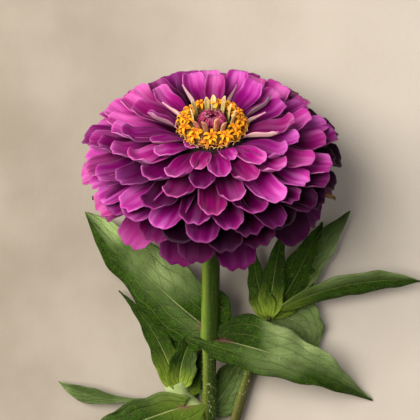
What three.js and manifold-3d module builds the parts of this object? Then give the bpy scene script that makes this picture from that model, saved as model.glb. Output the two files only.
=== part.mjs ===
// A zinnia bloom on its cut, leafy stem, lying on a flat surface as picked.
// Millimetres, +Z up. The stem lies along Y with its cut end towards -Y, and the bloom at the other
// end is turned up from the surface. Everything is laid out with the bloom's disc above x = 0,
// y = 0, and the finished plant is then centred over the origin.
import * as THREE from 'three';
import { mergeVertices } from 'three/addons/utils/BufferGeometryUtils.js';
import Module from 'manifold-3d';

const wasm = await Module();
wasm.setup();

const degrees = THREE.MathUtils.degToRad;
const mix = THREE.MathUtils.lerp;
const smooth = THREE.MathUtils.smoothstep;

// Bloom: how high its disc is, and how far its face is turned up from the surface
const DISC_HEIGHT = 55.5;
const FACE_UP = degrees(41);
const CLEARANCE = 0.3;

// Ray petals, in one spiral from the disc down to the oldest ones. Their tips lie on the bloom's
// outer surface, an arc that is narrow above its widest level and deep below it.
const PETALS = 116;
const GOLDEN_ANGLE = Math.PI * (3 - Math.sqrt(5));
const FIRST_PETAL_AZIMUTH = degrees(236);
const PETAL = { thickness: 0.6, youngWidth: 7.4, oldWidth: 15.4, sunk: 1.6 };
const TIPS = { radius: 50.8, widestLevel: -17.5, rise: 24, drop: 40 };
const TIP_ARC = { from: degrees(29), to: degrees(122) };

// Receptacle that the petals grow from, as radius and level pairs
const RECEPTACLE_FOOT = { radius: 5, level: -29.5 };
const RECEPTACLE_TOP = { radius: 12.2, level: -1.4 };
const RECEPTACLE_SIDE = [
  [9.2, -22.2], [10, -19.8], [14.6, -16.4], [16, -12], [15.5, -7], [13, -2.8],
];
const PETAL_ROOTS = { youngest: [12.4, -2.6], oldest: [10.5, -19] };

// Disc: a dark eye, a ring of upright pale bracts, and a ring of open yellow florets
const DISC_FLOOR = RECEPTACLE_TOP.level + CLEARANCE;
const EYE = { radius: 5.6, height: 5.4, dimple: 1.8, buds: 18 };
const BRACTS = { inner: 6.1, outer: 7, count: 14, height: 8.8, gap: 6.2, lean: 0.7 };
const FLORET_BED = { inner: 8.1, outer: 11.9, height: 3.4 };
const FLORET_RINGS = [
  { count: 11, radius: 10.5, length: 6, lean: 3 },
  { count: 13, radius: 10.9, length: 4.1, lean: 16 },
];
const FLORET = { star: 2.6, notch: 1.2, lip: 0.7, throat: 0.5 };

// Green cup under the petals, made of overlapping rounded scales on a thin wall
const CUP = { rim: 11.9, rimLevel: -20.6, foot: 4.2, bottomLevel: -31.6, wall: 1.3 };
const SCALES = { perRow: 7, relief: 0.8, scallop: 1.8 };

// Main stem, swollen under the bloom and thinner below the upper pair of leaves
const STEM = { neck: 3.6, swelling: 3.8, middle: 3.4, end: 2.3, knot: 0.4, sides: 10, steps: 14 };
const STEM_ROUTE = { firstRun: 30, middle: [-1.8, -103, 10], cutEnd: [-1.2, -177, 2.2] };
const UPPER_NODE = 0.43;
const LOWER_NODE = 0.63;

// The side branch on the right, from its fork low on the stem, and the short shoot on the left
const BRANCH = { base: 2.3, tip: 1.9, sides: 8 };
const RIGHT_BRANCH = [
  [-1, -151, 4.2], [3.6, -140, 4.4], [10, -123.7, 4.6], [16, -103.3, 5.4], [24.1, -78.6, 7.6],
];
const LEFT_SHOOT = [[-1.2, -121, 5], [-8, -117.6, 5.4], [-13.6, -113.6, 6], [-15.8, -107.6, 6.4]];
const SHEATH = { base: 2.6, tip: 5.2 };

// Leaves: the root, the tip and a point the midrib bends towards, the way the upper face looks, the
// full width, how far along the leaf is broadest, how blunt its tip is, how full it is at its root,
// the fold that lifts both halves from the midrib, and how much wider one half is than the other.
// Then how far the blade twists, how far each edge rolls up, and how far the pointed lobes at the
// root reach back past it, level with it.
const LEAF = { thickness: 0.7, ripple: 1.6, lobe: 0.1, broad: 18, rollsFrom: 0.5 };
const PLAIN_LEAF = {
  up: [0, 0, 1], peak: 0.33, blunt: 0.9, base: 0.5, fold: 0.3, skew: 0, twist: 0, edges: [0, 0],
  ears: [0, 0],
};
const UPPER_PAIR = [
  {
    root: [-2, -83.6, 11.6], bend: [-25, -66, 18], tip: [-55, -34, 0.8], up: [-0.05, -0.2, 1],
    width: 30, blunt: 0.7, base: 1.1, fold: 0.14, skew: -0.02, ears: [6, 2],
  },
  {
    root: [3.6, -88.2, 14.8], bend: [37.4, -94, 30], tip: [69, -115.5, 0.2], up: [0.1, 0.2, 1],
    width: 24, peak: 0.3, base: 0.62, fold: 0.2, skew: 0.12, edges: [-1.3, -0.3], ears: [13, 4],
  },
];
const LOWER_LEAVES = [
  {
    root: [-11.6, -117, 10.6], bend: [-33, -122.5, 17], tip: [-59, -137, 0.2], up: [-0.1, 0.1, 1],
    width: 31, peak: 0.48, blunt: 0.6, base: 0.75, fold: 0.12, skew: 0.42, ears: [1, 9],
  },
  {
    root: [-17, -112.6, 6.5], bend: [-45, -119, 6], tip: [-66.4, -107.4, 3], up: [0, 0.3, 1],
    width: 8, peak: 0.78, blunt: 1.4, base: 0.3, twist: -0.9,
  },
  {
    root: [0, -119, 5], bend: [7, -111, 4], tip: [16, -92, 2], up: [0.1, -0.1, 1],
    width: 18, blunt: 0.7, fold: 0.12,
  },
];
const LEFT_SHOOT_LEAVES = [
  {
    root: [-16, -108.6, 8.4], bend: [-20.6, -86, 11], tip: [-40.2, -68, 3], up: [0.15, -0.1, 1],
    width: 12, peak: 0.28, blunt: 1.1, base: 0.7, fold: 0.25,
  },
  {
    root: [-15, -108.4, 7.6], bend: [-13, -96, 8], tip: [-19, -80, 4], up: [0, -0.2, 1],
    width: 11, base: 0.6, fold: 0.25,
  },
  {
    root: [-14, -108.6, 9.2], bend: [-14.6, -96, 13], tip: [-4, -79, 6], up: [0.35, -0.2, 1],
    width: 13, base: 0.7, fold: 0.35,
  },
  {
    root: [-10.5, -113.6, 6], bend: [-8, -104, 5.6], tip: [-3, -92, 3.4], up: [0.5, -0.2, 0.9],
    width: 9,
  },
];
const RIGHT_SHOOT_LEAVES = [
  {
    root: [25, -77.6, 8.8], bend: [56, -60, 20], tip: [89.4, -63.5, 8], up: [0.05, -0.5, 0.85],
    width: 12, peak: 0.62, base: 0.35, fold: 0.25, edges: [-1.2, -0.4],
  },
  {
    root: [25, -79, 6.4], bend: [46, -78, 8], tip: [39.6, -99, 1.5], up: [-0.1, 0.3, 1],
    width: 22, blunt: 0.7, fold: 0.15,
  },
  {
    root: [24.4, -79, 9.4], bend: [18.4, -66, 12], tip: [17.4, -47, 6], up: [-0.2, -0.3, 1],
    width: 10.5, base: 0.6, fold: 0.2,
  },
  {
    root: [24.8, -78.6, 9.6], bend: [25.6, -60, 13], tip: [31.5, -39, 10], up: [-0.1, -0.3, 1],
    width: 10.5, base: 0.6, fold: 0.2,
  },
  {
    root: [25.4, -78.6, 7.6], bend: [35, -66, 10], tip: [47.5, -38.2, 5], up: [0.1, -0.3, 1],
    width: 17, peak: 0.45, base: 0.3, fold: 0.2,
  },
  {
    root: [26.4, -78.4, 5.4], bend: [40, -58, 5.5], tip: [59.4, -33.4, 8], up: [-0.35, -0.1, 1],
    width: 13, peak: 0.55, base: 0.3, fold: 0.2,
  },
];
const LEAVES = [...UPPER_PAIR, ...LOWER_LEAVES, ...LEFT_SHOOT_LEAVES, ...RIGHT_SHOOT_LEAVES]
  .map((leaf) => ({ ...PLAIN_LEAF, ...leaf }));

const finish = (color, roughness) =>
  new THREE.MeshStandardMaterial({ color, roughness, metalness: 0 });
const PETAL_PURPLE = finish('#a3148c', 0.55);
const FLORET_YELLOW = finish('#f2a81d', 0.6);
const BRACT_CREAM = finish('#cdb98a', 0.6);
const EYE_MAROON = finish('#8c2350', 0.6);
const LEAF_GREEN = finish('#4c7426', 0.6);

// A repeatable draw between -1 and 1
function noise(index, channel) {
  const wave = Math.sin(index * 12.9898 + channel * 78.233) * 43758.5453;
  return 2 * (wave - Math.floor(wave)) - 1;
}

const vector = (point) => new THREE.Vector3(...point);
const outwardAt = (azimuth) => new THREE.Vector3(Math.cos(azimuth), Math.sin(azimuth), 0);
const besideAt = (azimuth) => new THREE.Vector3(-Math.sin(azimuth), Math.cos(azimuth), 0);
const aboutZ = (angle) => new THREE.Matrix4().makeRotationZ(angle);
const aboutY = (angle) => new THREE.Matrix4().makeRotationY(angle);
const shift = (x, y, z) => new THREE.Matrix4().makeTranslation(x, y, z);
const placed = (geometry, ...steps) =>
  steps.reduceRight((shape, step) => shape.applyMatrix4(step), geometry);

// A closed geometry as a solid, whichever way its faces are wound
function solidOf(geometry) {
  const bare = geometry.clone();
  bare.deleteAttribute('normal');
  bare.deleteAttribute('uv');
  const merged = mergeVertices(bare, 1e-4);
  const vertProperties = merged.attributes.position.array;
  const triVerts = new Uint32Array(merged.index.array);
  const build = () => {
    const mesh = new wasm.Mesh({ numProp: 3, vertProperties, triVerts });
    mesh.merge();
    return new wasm.Manifold(mesh);
  };
  const solid = build();
  if (solid.volume() > 0) return solid;
  triVerts.reverse();
  return build();
}

// Closed geometries as one solid. What would sink into the surface is trimmed to a small flat, and
// a scrap that this cuts loose is dropped.
function joined(geometries, frame = new THREE.Matrix4()) {
  const ground = solidOf(new THREE.BoxGeometry(400, 400, 40).translate(0, -60, -20));
  const bodies = geometries
    .map((geometry) => solidOf(geometry.applyMatrix4(frame)))
    .reduce((whole, solid) => whole.add(solid))
    .subtract(ground)
    .decompose();
  return bodies.reduce((largest, body) => (body.volume() > largest.volume() ? body : largest));
}

function named(name, material, solid) {
  const { vertProperties, numProp, triVerts } = solid.getMesh();
  const geometry = new THREE.BufferGeometry();
  geometry.setAttribute('position', new THREE.BufferAttribute(vertProperties, numProp));
  geometry.setIndex(new THREE.BufferAttribute(triVerts, 1));
  const mesh = new THREE.Mesh(geometry, material);
  mesh.name = name;
  return mesh;
}

// A closed profile of radius and level pairs, turned about the Z axis
function turned(profile, sides) {
  const points = profile.map(([radius, level]) => new THREE.Vector2(radius, level));
  return new THREE.LatheGeometry(points, sides).rotateX(Math.PI / 2);
}

// A thin closed blade. place(u, s, face) gives the point at u along it, from 0 at the root to 1 at
// the tip, s across it from -1 to 1, on the upper face (1) or the lower one (-1). Both faces are
// split into triangles alike, and a rim joins them.
function blade(across, along, place) {
  const sheet = new THREE.PlaneGeometry(2, 1, across, along);
  const stations = sheet.getAttribute('position');
  const positions = [1, -1].flatMap((face) =>
    Array.from({ length: stations.count }, (_, i) =>
      place(0.5 - stations.getY(i), stations.getX(i), face).toArray()));
  const upper = [...sheet.index.array];
  const lower = upper.map((index) => index + stations.count).reverse();
  const at = (row, column) => row * (across + 1) + column;
  const rim = [
    ...Array.from({ length: across }, (_, i) => at(0, i)),
    ...Array.from({ length: along }, (_, j) => at(j, across)),
    ...Array.from({ length: across }, (_, i) => at(along, across - i)),
    ...Array.from({ length: along }, (_, j) => at(along - j, 0)),
  ];
  const sides = rim.flatMap((a, k) => {
    const b = rim[(k + 1) % rim.length];
    return [a, b, a + stations.count, b, b + stations.count, a + stations.count];
  });
  const geometry = new THREE.BufferGeometry();
  geometry.setAttribute('position', new THREE.Float32BufferAttribute(positions.flat(), 3));
  geometry.setIndex([...upper, ...lower, ...sides]);
  return geometry;
}

// A round stem of changing radius: a capped cylinder, bent to follow a curve
function bentCylinder(curve, radiusAt, sides, steps) {
  const tube = new THREE.CylinderGeometry(1, 1, 1, sides, steps);
  const points = tube.getAttribute('position');
  const { normals, binormals } = curve.computeFrenetFrames(steps, false);
  for (let i = 0; i < points.count; i++) {
    const u = 0.5 - points.getY(i);
    const step = Math.round(u * steps);
    const radius = radiusAt(u);
    const point = curve.getPointAt(u);
    point.addScaledVector(normals[step], points.getX(i) * radius);
    point.addScaledVector(binormals[step], points.getZ(i) * radius);
    points.setXYZ(i, ...point);
  }
  return tube;
}

// A petal's midline as radius and level. age runs from 0 beside the disc to 1 at the bottom.
function petalMidline(n, age) {
  const arc = mix(TIP_ARC.from, TIP_ARC.to, age) + 0.05 * noise(n, 1);
  const reach = arc < Math.PI / 2 ? TIPS.rise : TIPS.drop;
  const tipRadius = TIPS.radius * Math.sin(arc) + 1.3 * noise(n, 2);
  const tip = new THREE.Vector2(tipRadius, TIPS.widestLevel + reach * Math.cos(arc));
  const oldest = new THREE.Vector2(...PETAL_ROOTS.oldest);
  const root = new THREE.Vector2(...PETAL_ROOTS.youngest).lerp(oldest, age);
  root.x -= PETAL.sunk;
  const chord = tip.clone().sub(root);
  const turnedBy = (angle) => chord.clone().rotateAround(new THREE.Vector2(), angle);
  const rising = turnedBy(degrees(mix(20, 34, age))).multiplyScalar(0.38);
  const falling = turnedBy(-degrees(mix(20, 36, age))).multiplyScalar(0.38);
  return new THREE.CubicBezierCurve(root, root.clone().add(rising), tip.clone().sub(falling), tip);
}

function petal(n) {
  const age = n / (PETALS - 1);
  const midline = petalMidline(n, age);
  const azimuth = FIRST_PETAL_AZIMUTH + n * GOLDEN_ANGLE + 0.05 * noise(n, 3);
  const width = mix(PETAL.youngWidth, PETAL.oldWidth, age ** 0.6);
  const halfWidth = 0.5 * width * (1 + 0.08 * noise(n, 4));
  const cup = halfWidth * mix(0.3, 0.18, age) * (1 + 0.25 * noise(n, 5));
  const roll = 0.1 * noise(n, 6);
  return blade(2, age < 0.55 ? 3 : 4, (row, s, face) => {
    const u = 1 - (1 - row) ** 1.4;
    const reach = u - 0.06 * s * s * u ** 4;
    const middle = midline.getPoint(reach);
    const tangent = midline.getTangent(reach);
    const outline = mix(0.2, 1, smooth(u, 0, 0.66)) * mix(1, 0.68, smooth(u, 0.8, 1));
    const across = s * halfWidth * outline;
    const curl = cup * s * s * smooth(u, 0, 0.5) + roll * across * u;
    const lift = curl + face * PETAL.thickness / 2;
    return outwardAt(azimuth).multiplyScalar(middle.x - tangent.y * lift)
      .addScaledVector(besideAt(azimuth), across)
      .setZ(middle.y + tangent.x * lift);
  });
}

function rayPetals() {
  const receptacle = turned([
    [0, RECEPTACLE_FOOT.level], [RECEPTACLE_FOOT.radius, RECEPTACLE_FOOT.level],
    ...RECEPTACLE_SIDE,
    [RECEPTACLE_TOP.radius, RECEPTACLE_TOP.level], [0, RECEPTACLE_TOP.level],
  ], 16);
  return [receptacle, ...Array.from({ length: PETALS }, (_, n) => petal(n))];
}

// One open floret: a tube that flares from a point in the bed into a five-lobed star, its throat
// hollow
function floret({ count, radius, length, lean }, k) {
  const tall = length + 0.5 * noise(k, radius);
  const profile = [[0, -1.5], [1, tall], [1, tall + FLORET.lip], [0, tall - FLORET.throat]];
  const trumpet = turned(profile, 10);
  const points = trumpet.getAttribute('position');
  for (let i = 0; i < points.count; i++) {
    const lobe = Math.floor(i / profile.length) % 2 ? FLORET.notch : FLORET.star;
    points.setXY(i, points.getX(i) * lobe, points.getY(i) * lobe);
  }
  const azimuth = (2 * Math.PI * (k + 0.2 * noise(k, 13))) / count + radius;
  const tilt = degrees(lean + 4 * noise(k, 12));
  return placed(trumpet, aboutZ(azimuth), shift(radius, 0, 0.9), aboutY(tilt), aboutZ(k));
}

function discFlorets() {
  const { inner, outer, height } = FLORET_BED;
  const bed = [
    [inner, DISC_FLOOR], [outer - 1, DISC_FLOOR], [outer, 0.8], [outer - 0.4, 2.4], [inner, height],
  ];
  const florets = FLORET_RINGS.flatMap((ring) =>
    Array.from({ length: ring.count }, (_, k) => floret(ring, k)));
  return [turned([...bed, bed[0]], 16), ...florets];
}

// Upright bracts in a ring round the eye: one wall with a pointed rim, leaning out a little
function discBracts() {
  const { inner, outer, count, height, gap, lean } = BRACTS;
  const profile = [
    [inner, DISC_FLOOR], [outer, DISC_FLOOR], [outer + lean, height], [inner + lean, height],
  ];
  const wall = turned([...profile, profile[0]], 2 * count);
  const points = wall.getAttribute('position');
  for (let i = 0; i < points.count; i++) {
    if (points.getZ(i) < height - 1) continue;
    const side = Math.floor(i / (profile.length + 1)) % (2 * count);
    points.setZ(i, side % 2 ? height + 0.7 * noise(side, 22) : height - gap);
  }
  return [wall];
}

// The eye: a low dome with a dimple, covered by closed buds that lean to the middle
function discEye() {
  const { radius, height, dimple, buds } = EYE;
  const dome = turned([
    [0, DISC_FLOOR], [radius, DISC_FLOOR], [radius, 1.6], [radius * 0.75, height - 1],
    [radius * 0.4, height], [0, height - dimple],
  ], 16);
  const closed = Array.from({ length: buds }, (_, k) => {
    const share = Math.sqrt((k + 0.6) / buds);
    const bud = new THREE.ConeGeometry(0.95, 3.6, 4, 1).rotateX(Math.PI / 2).translate(0, 0, 1);
    const place = shift(radius * 0.84 * share, 0, mix(height - 1.1, 1.9, share ** 3));
    return placed(bud, aboutZ(k * GOLDEN_ANGLE), place, aboutY(-degrees(24 + 10 * share)));
  });
  return [dome, ...closed];
}

// Rows of scales stand out from the cup's wall as rounded ridges, staggered from row to row, and
// scallop its rim
function greenCup() {
  const { rim, rimLevel, foot, bottomLevel, wall } = CUP;
  const inside = rim - wall;
  const floor = RECEPTACLE_FOOT.level - CLEARANCE;
  const outline = [
    [0, bottomLevel], [foot, bottomLevel], [foot + 2.8, bottomLevel + 1.8],
    [foot + 4.9, bottomLevel + 4.2], [rim - 1.9, rimLevel - 4], [rim - 0.6, rimLevel - 2.2],
    [rim, rimLevel],
    [inside, rimLevel], [RECEPTACLE_FOOT.radius + 0.6, floor], [0, floor],
  ];
  const cup = turned(outline, 4 * SCALES.perRow);
  const points = cup.getAttribute('position');
  for (let i = 0; i < points.count; i++) {
    const [side, ring] = [Math.floor(i / outline.length), i % outline.length];
    const row = Math.floor(ring / 2);
    const ridge = Math.cos((Math.PI * side) / 2 + Math.PI * row);
    if (ring > 1 && ring < 6) {
      const grow = 1 + (SCALES.relief * ridge * (ring % 2 ? 1 : 0.5)) / outline[ring][0];
      points.setXY(i, points.getX(i) * grow, points.getY(i) * grow);
    }
    if (ring === 6) points.setZ(i, rimLevel + (SCALES.scallop * (ridge - 1)) / 2);
  }
  return [cup];
}

// The bloom's own frame, its axis along Z from the disc, as it lies on the surface
const bloomFrame = new THREE.Matrix4()
  .makeRotationX(FACE_UP - Math.PI / 2)
  .setPosition(0, 0, DISC_HEIGHT);

function mainStem() {
  const onAxis = (level) => new THREE.Vector3(0, 0, level).applyMatrix4(bloomFrame);
  const top = CUP.bottomLevel + 1;
  const { firstRun, middle, cutEnd } = STEM_ROUTE;
  const route = new THREE.CubicBezierCurve3(
    onAxis(top), onAxis(top - firstRun), vector(middle), vector(cutEnd));
  const knotAt = (u, node) => STEM.knot * Math.exp(-(((u - node) / 0.02) ** 2));
  const radiusAt = (u) => {
    const upper = mix(STEM.neck, STEM.swelling, smooth(u, 0, 0.25));
    const lower = mix(STEM.middle, STEM.end, u);
    const plain = mix(upper, lower, smooth(u, UPPER_NODE - 0.04, UPPER_NODE + 0.08));
    return plain + knotAt(u, UPPER_NODE) + knotAt(u, LOWER_NODE);
  };
  return bentCylinder(route, radiusAt, STEM.sides, STEM.steps);
}

function sideStem(route, { base, tip }) {
  const curve = new THREE.CatmullRomCurve3(route.map(vector), false, 'centripetal');
  return bentCylinder(curve, (u) => mix(base, tip, u), BRANCH.sides, 2 * route.length);
}

// Bends the part of a blade beyond a line into an arc: how far out and how high a point ends up
function rolled(across, start, turn) {
  const beyond = Math.max(Math.abs(across) - start, 0);
  const angle = turn * beyond;
  if (Math.abs(angle) < 1e-4) return [across, 0];
  const run = start + (beyond * Math.sin(angle)) / angle;
  return [Math.sign(across) * run, (beyond * (1 - Math.cos(angle))) / angle];
}

function leaf(shape, n) {
  const { up, width, peak, blunt, base, fold, skew, twist, edges, ears } = shape;
  const midrib = new THREE.QuadraticBezierCurve3(
    ...[shape.root, shape.bend, shape.tip].map(vector));
  const isBroad = width > LEAF.broad;
  const scale = Math.min(width / 26, 1);
  const fullness = (u) => {
    const phase = mix(0.14, 1, u) ** (Math.log(0.5) / Math.log(peak));
    const root = mix(base, 1, smooth(u, 0, 0.2)) * mix(0.6, 1, Math.sqrt(Math.min(u / 0.09, 1)));
    return Math.max(0.05, root * Math.sin(Math.PI * Math.min(phase, 1)) ** blunt);
  };
  return blade(isBroad ? 4 : 2, isBroad ? 7 : 6, (u, s, face) => {
    const tangent = midrib.getTangent(u);
    const side = vector(up).cross(tangent).normalize()
      .applyAxisAngle(tangent, twist * smooth(u, 0.1, 1));
    const half = 0.5 * width * fullness(u) * (1 + skew * s);
    const edge = s > 0 ? 1 : 0;
    const turn = (edges[edge] * Math.max(Math.sin(Math.PI * u), 0) ** 0.7) / (0.275 * width);
    const [across, raised] = rolled(s * half, LEAF.rollsFrom * half, turn);
    const wave = Math.sin(2 * Math.PI * (2.3 * u + 0.5 * s) + 1.7 * n);
    const ripple = LEAF.ripple * scale * scale * s * s * wave * smooth(u, 0, 0.3);
    const lift = fold * Math.abs(across) - 0.012 * across * across + ripple + raised;
    const point = smooth(Math.abs(s), 0, 0.35) * (1 - 0.55 * smooth(Math.abs(s), 0.35, 1));
    const ear = ears[edge] * point * (1 - smooth(u, 0, 0.35));
    const lobe = LEAF.lobe * width * s * s * (1 - smooth(u, 0, 0.4)) + ear;
    const level = tangent.clone().setZ(0).normalize();
    const normal = tangent.clone().cross(side);
    return midrib.getPoint(u).addScaledVector(side, across).addScaledVector(level, -lobe)
      .addScaledVector(normal, lift + face * LEAF.thickness / 2);
  });
}

function leafyStem() {
  const cup = greenCup().map((geometry) => geometry.applyMatrix4(bloomFrame));
  const sideStems = [sideStem(RIGHT_BRANCH, BRANCH), sideStem(LEFT_SHOOT, SHEATH)];
  return [...cup, mainStem(), ...sideStems, ...LEAVES.map(leaf)];
}

const plant = new THREE.Group();
plant.add(
  named('ray_petals', PETAL_PURPLE, joined(rayPetals(), bloomFrame)),
  named('disc_florets', FLORET_YELLOW, joined(discFlorets(), bloomFrame)),
  named('disc_bracts', BRACT_CREAM, joined(discBracts(), bloomFrame)),
  named('disc_eye', EYE_MAROON, joined(discEye(), bloomFrame)),
  named('leafy_stem', LEAF_GREEN, joined(leafyStem())),
);

const middle = new THREE.Box3().setFromObject(plant, true).getCenter(new THREE.Vector3());
plant.position.set(-middle.x, -middle.y, 0);

const zinnia = new THREE.Group();
zinnia.add(plant);

export default zinnia;
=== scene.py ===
"""A cut zinnia as it lies on a table, seen from above: its looks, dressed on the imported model.

Every piece is shaped in millimetres from the point on the table under the middle of the disc, with
+Z up and the stem running towards -Y, and is set in its place in the model when it is finished.
"""

import logging
import math
from dataclasses import dataclass
from enum import Enum
from typing import Callable, Sequence

import bmesh
import bpy
from mathutils import Matrix, Vector


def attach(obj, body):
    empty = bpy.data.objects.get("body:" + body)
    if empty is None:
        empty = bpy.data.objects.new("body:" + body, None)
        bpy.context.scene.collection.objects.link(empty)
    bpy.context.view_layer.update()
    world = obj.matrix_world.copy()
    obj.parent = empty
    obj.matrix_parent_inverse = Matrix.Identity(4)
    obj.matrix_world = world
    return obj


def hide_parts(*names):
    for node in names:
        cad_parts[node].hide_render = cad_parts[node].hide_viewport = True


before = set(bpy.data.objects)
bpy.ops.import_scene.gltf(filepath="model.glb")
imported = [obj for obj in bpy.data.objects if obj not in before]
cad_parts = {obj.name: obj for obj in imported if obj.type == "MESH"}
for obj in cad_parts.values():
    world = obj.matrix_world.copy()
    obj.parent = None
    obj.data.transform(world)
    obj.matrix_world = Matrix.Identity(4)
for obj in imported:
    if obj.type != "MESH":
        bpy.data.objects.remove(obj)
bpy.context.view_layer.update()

LOG = logging.getLogger("zinnia")

MM = 0.001
GOLDEN_ANGLE = math.pi * (3 - math.sqrt(5))

# Where the disc is and how far its face is turned up from the table
DISC_HEIGHT = 55.5
FACE_UP = math.radians(41)
DISC_FLOOR = -1.1
BLOOM = Matrix.Translation((0, 0, DISC_HEIGHT)) @ Matrix.Rotation(FACE_UP - math.pi / 2, 4, "X")

# The point under the disc, in the model's own frame
PLACE = Matrix.Scale(MM, 4) @ Matrix.Translation((-11.540, 76.046, 0))

# A leaf's midrib and the two long nerves on each side of it: where each runs, as a share of the
# way to the edge, and how deep its groove is
NERVES = ((0.0, 0.6), (0.36, 0.45), (0.68, 0.3))

# The short side veins: how many leave the midrib on each side, and how far they slant forward
SIDE_VEINS = 8.0
VEIN_SLANT = 2.4


class Node(Enum):
    """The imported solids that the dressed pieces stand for."""

    PETALS = "ray_petals"
    FLORETS = "disc_florets"
    BRACTS = "disc_bracts"
    EYE = "disc_eye"
    GREENS = "leafy_stem"


class Slot(Enum):
    """The record's material slots."""

    PETAL = "petal"
    FLORET = "floret"
    BRACT = "bract"
    EYE = "eye"
    LEAF = "leaf"


class Mark(Enum):
    """What each point of a piece says about its place, for the finishes to read."""

    ALONG = "along"
    ACROSS = "across"
    AGE = "age"
    TONE = "tone"


def draw(index: float, channel: float) -> float:
    """Make a repeatable draw.

    Args:
        index: Which copy the draw is for.
        channel: Which of its qualities the draw is for.

    Returns:
        A number between -1 and 1.
    """
    wave = math.sin(index * 12.9898 + channel * 78.233) * 43758.5453
    return 2 * (wave - math.floor(wave)) - 1


def per_metre(size: float) -> float:
    """Return the scale of a pattern whose grains are this many millimetres wide."""
    return 1 / (size * MM)


def mix(low: float, high: float, share: float) -> float:
    """Return the value at share of the way from low to high."""
    return low + (high - low) * share


def smooth(value: float, start: float, end: float) -> float:
    """Return a soft step that rises from 0 at start to 1 at end."""
    share = min(max((value - start) / (end - start), 0.0), 1.0)
    return share * share * (3 - 2 * share)


def about_z(angle: float) -> Matrix:
    """Return a turn about the Z axis, in radians."""
    return Matrix.Rotation(angle, 4, "Z")


def about_y(angle: float) -> Matrix:
    """Return a turn about the Y axis, in radians."""
    return Matrix.Rotation(angle, 4, "Y")


def bezier(handles: Sequence[Vector], share: float) -> tuple[Vector, Vector]:
    """Read a Bezier curve of any degree.

    Args:
        handles: The curve's control points.
        share: How far along it, from 0 to 1.

    Returns:
        The point there and the unit tangent.
    """
    row = [handle.copy() for handle in handles]
    while len(row) > 2:
        row = [a.lerp(b, share) for a, b in zip(row, row[1:])]
    return row[0].lerp(row[1], share), (row[1] - row[0]).normalized()


def rolled(across: float, start: float, turn: float) -> tuple[float, float]:
    """Bend the part of a blade beyond a line into an arc.

    Args:
        across: How far from the blade's midrib the point was before.
        start: How far from the midrib the bend begins.
        turn: How fast it bends up, in radians per millimetre.

    Returns:
        How far from the midrib it ends up, and how high.
    """
    beyond = max(abs(across) - start, 0.0)
    angle = turn * beyond
    if abs(angle) < 1e-4:
        return across, 0.0
    run = start + beyond * math.sin(angle) / angle
    return math.copysign(run, across), beyond * (1 - math.cos(angle)) / angle


class Route:
    """A smooth line through space, read by the share of its length."""

    def __init__(self, points: Sequence[Vector]) -> None:
        """Measure the line and carry a frame along it without twist.

        Args:
            points: Many points along the line.
        """
        self.points = list(points)
        self.lengths = [0.0]
        for a, b in zip(self.points, self.points[1:]):
            self.lengths.append(self.lengths[-1] + (b - a).length)
        self.sides = [Vector((1, 0, 0))]
        for i in range(len(self.points) - 1):
            ahead = (self.points[i + 1] - self.points[i]).normalized()
            side = self.sides[-1] - ahead * self.sides[-1].dot(ahead)
            self.sides.append(side.normalized())

    @classmethod
    def bent(cls, handles: Sequence[Vector], steps: int = 160) -> "Route":
        """Return the route of a Bezier curve with these handles."""
        return cls([bezier(handles, i / steps)[0] for i in range(steps + 1)])

    @classmethod
    def through(cls, knots: Sequence[Vector], steps: int = 24) -> "Route":
        """Lay a centripetal Catmull-Rom line through its knots.

        Args:
            knots: The points that the line passes through.
            steps: How many points to lay between two knots.

        Returns:
            The route.
        """
        ends = [knots[0] * 2 - knots[1], *knots, knots[-1] * 2 - knots[-2]]
        points = [knots[0].copy()]
        for p0, p1, p2, p3 in zip(ends, ends[1:], ends[2:], ends[3:]):
            d0, d1, d2 = (math.sqrt((b - a).length) for a, b in ((p0, p1), (p1, p2), (p2, p3)))
            leave = ((p1 - p0) / d0 - (p2 - p0) / (d0 + d1) + (p2 - p1) / d1) * d1 / 3
            reach = ((p2 - p1) / d1 - (p3 - p1) / (d1 + d2) + (p3 - p2) / d2) * d1 / 3
            handles = [p1, p1 + leave, p2 - reach, p2]
            points += [bezier(handles, i / steps)[0] for i in range(1, steps + 1)]
        return cls(points)

    def at(self, share: float) -> tuple[Vector, Vector, Vector, Vector]:
        """Read the route.

        Args:
            share: How far along its length, from 0 to 1.

        Returns:
            The point, the tangent, and the frame's two sides.
        """
        goal = share * self.lengths[-1]
        i = 0
        while i < len(self.lengths) - 2 and self.lengths[i + 1] < goal:
            i += 1
        part = (goal - self.lengths[i]) / max(self.lengths[i + 1] - self.lengths[i], 1e-9)
        point = self.points[i].lerp(self.points[i + 1], part)
        tangent = (self.points[i + 1] - self.points[i]).normalized()
        side = self.sides[i].lerp(self.sides[i + 1], part)
        side = (side - tangent * side.dot(tangent)).normalized()
        return point, tangent, side, tangent.cross(side)


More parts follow.
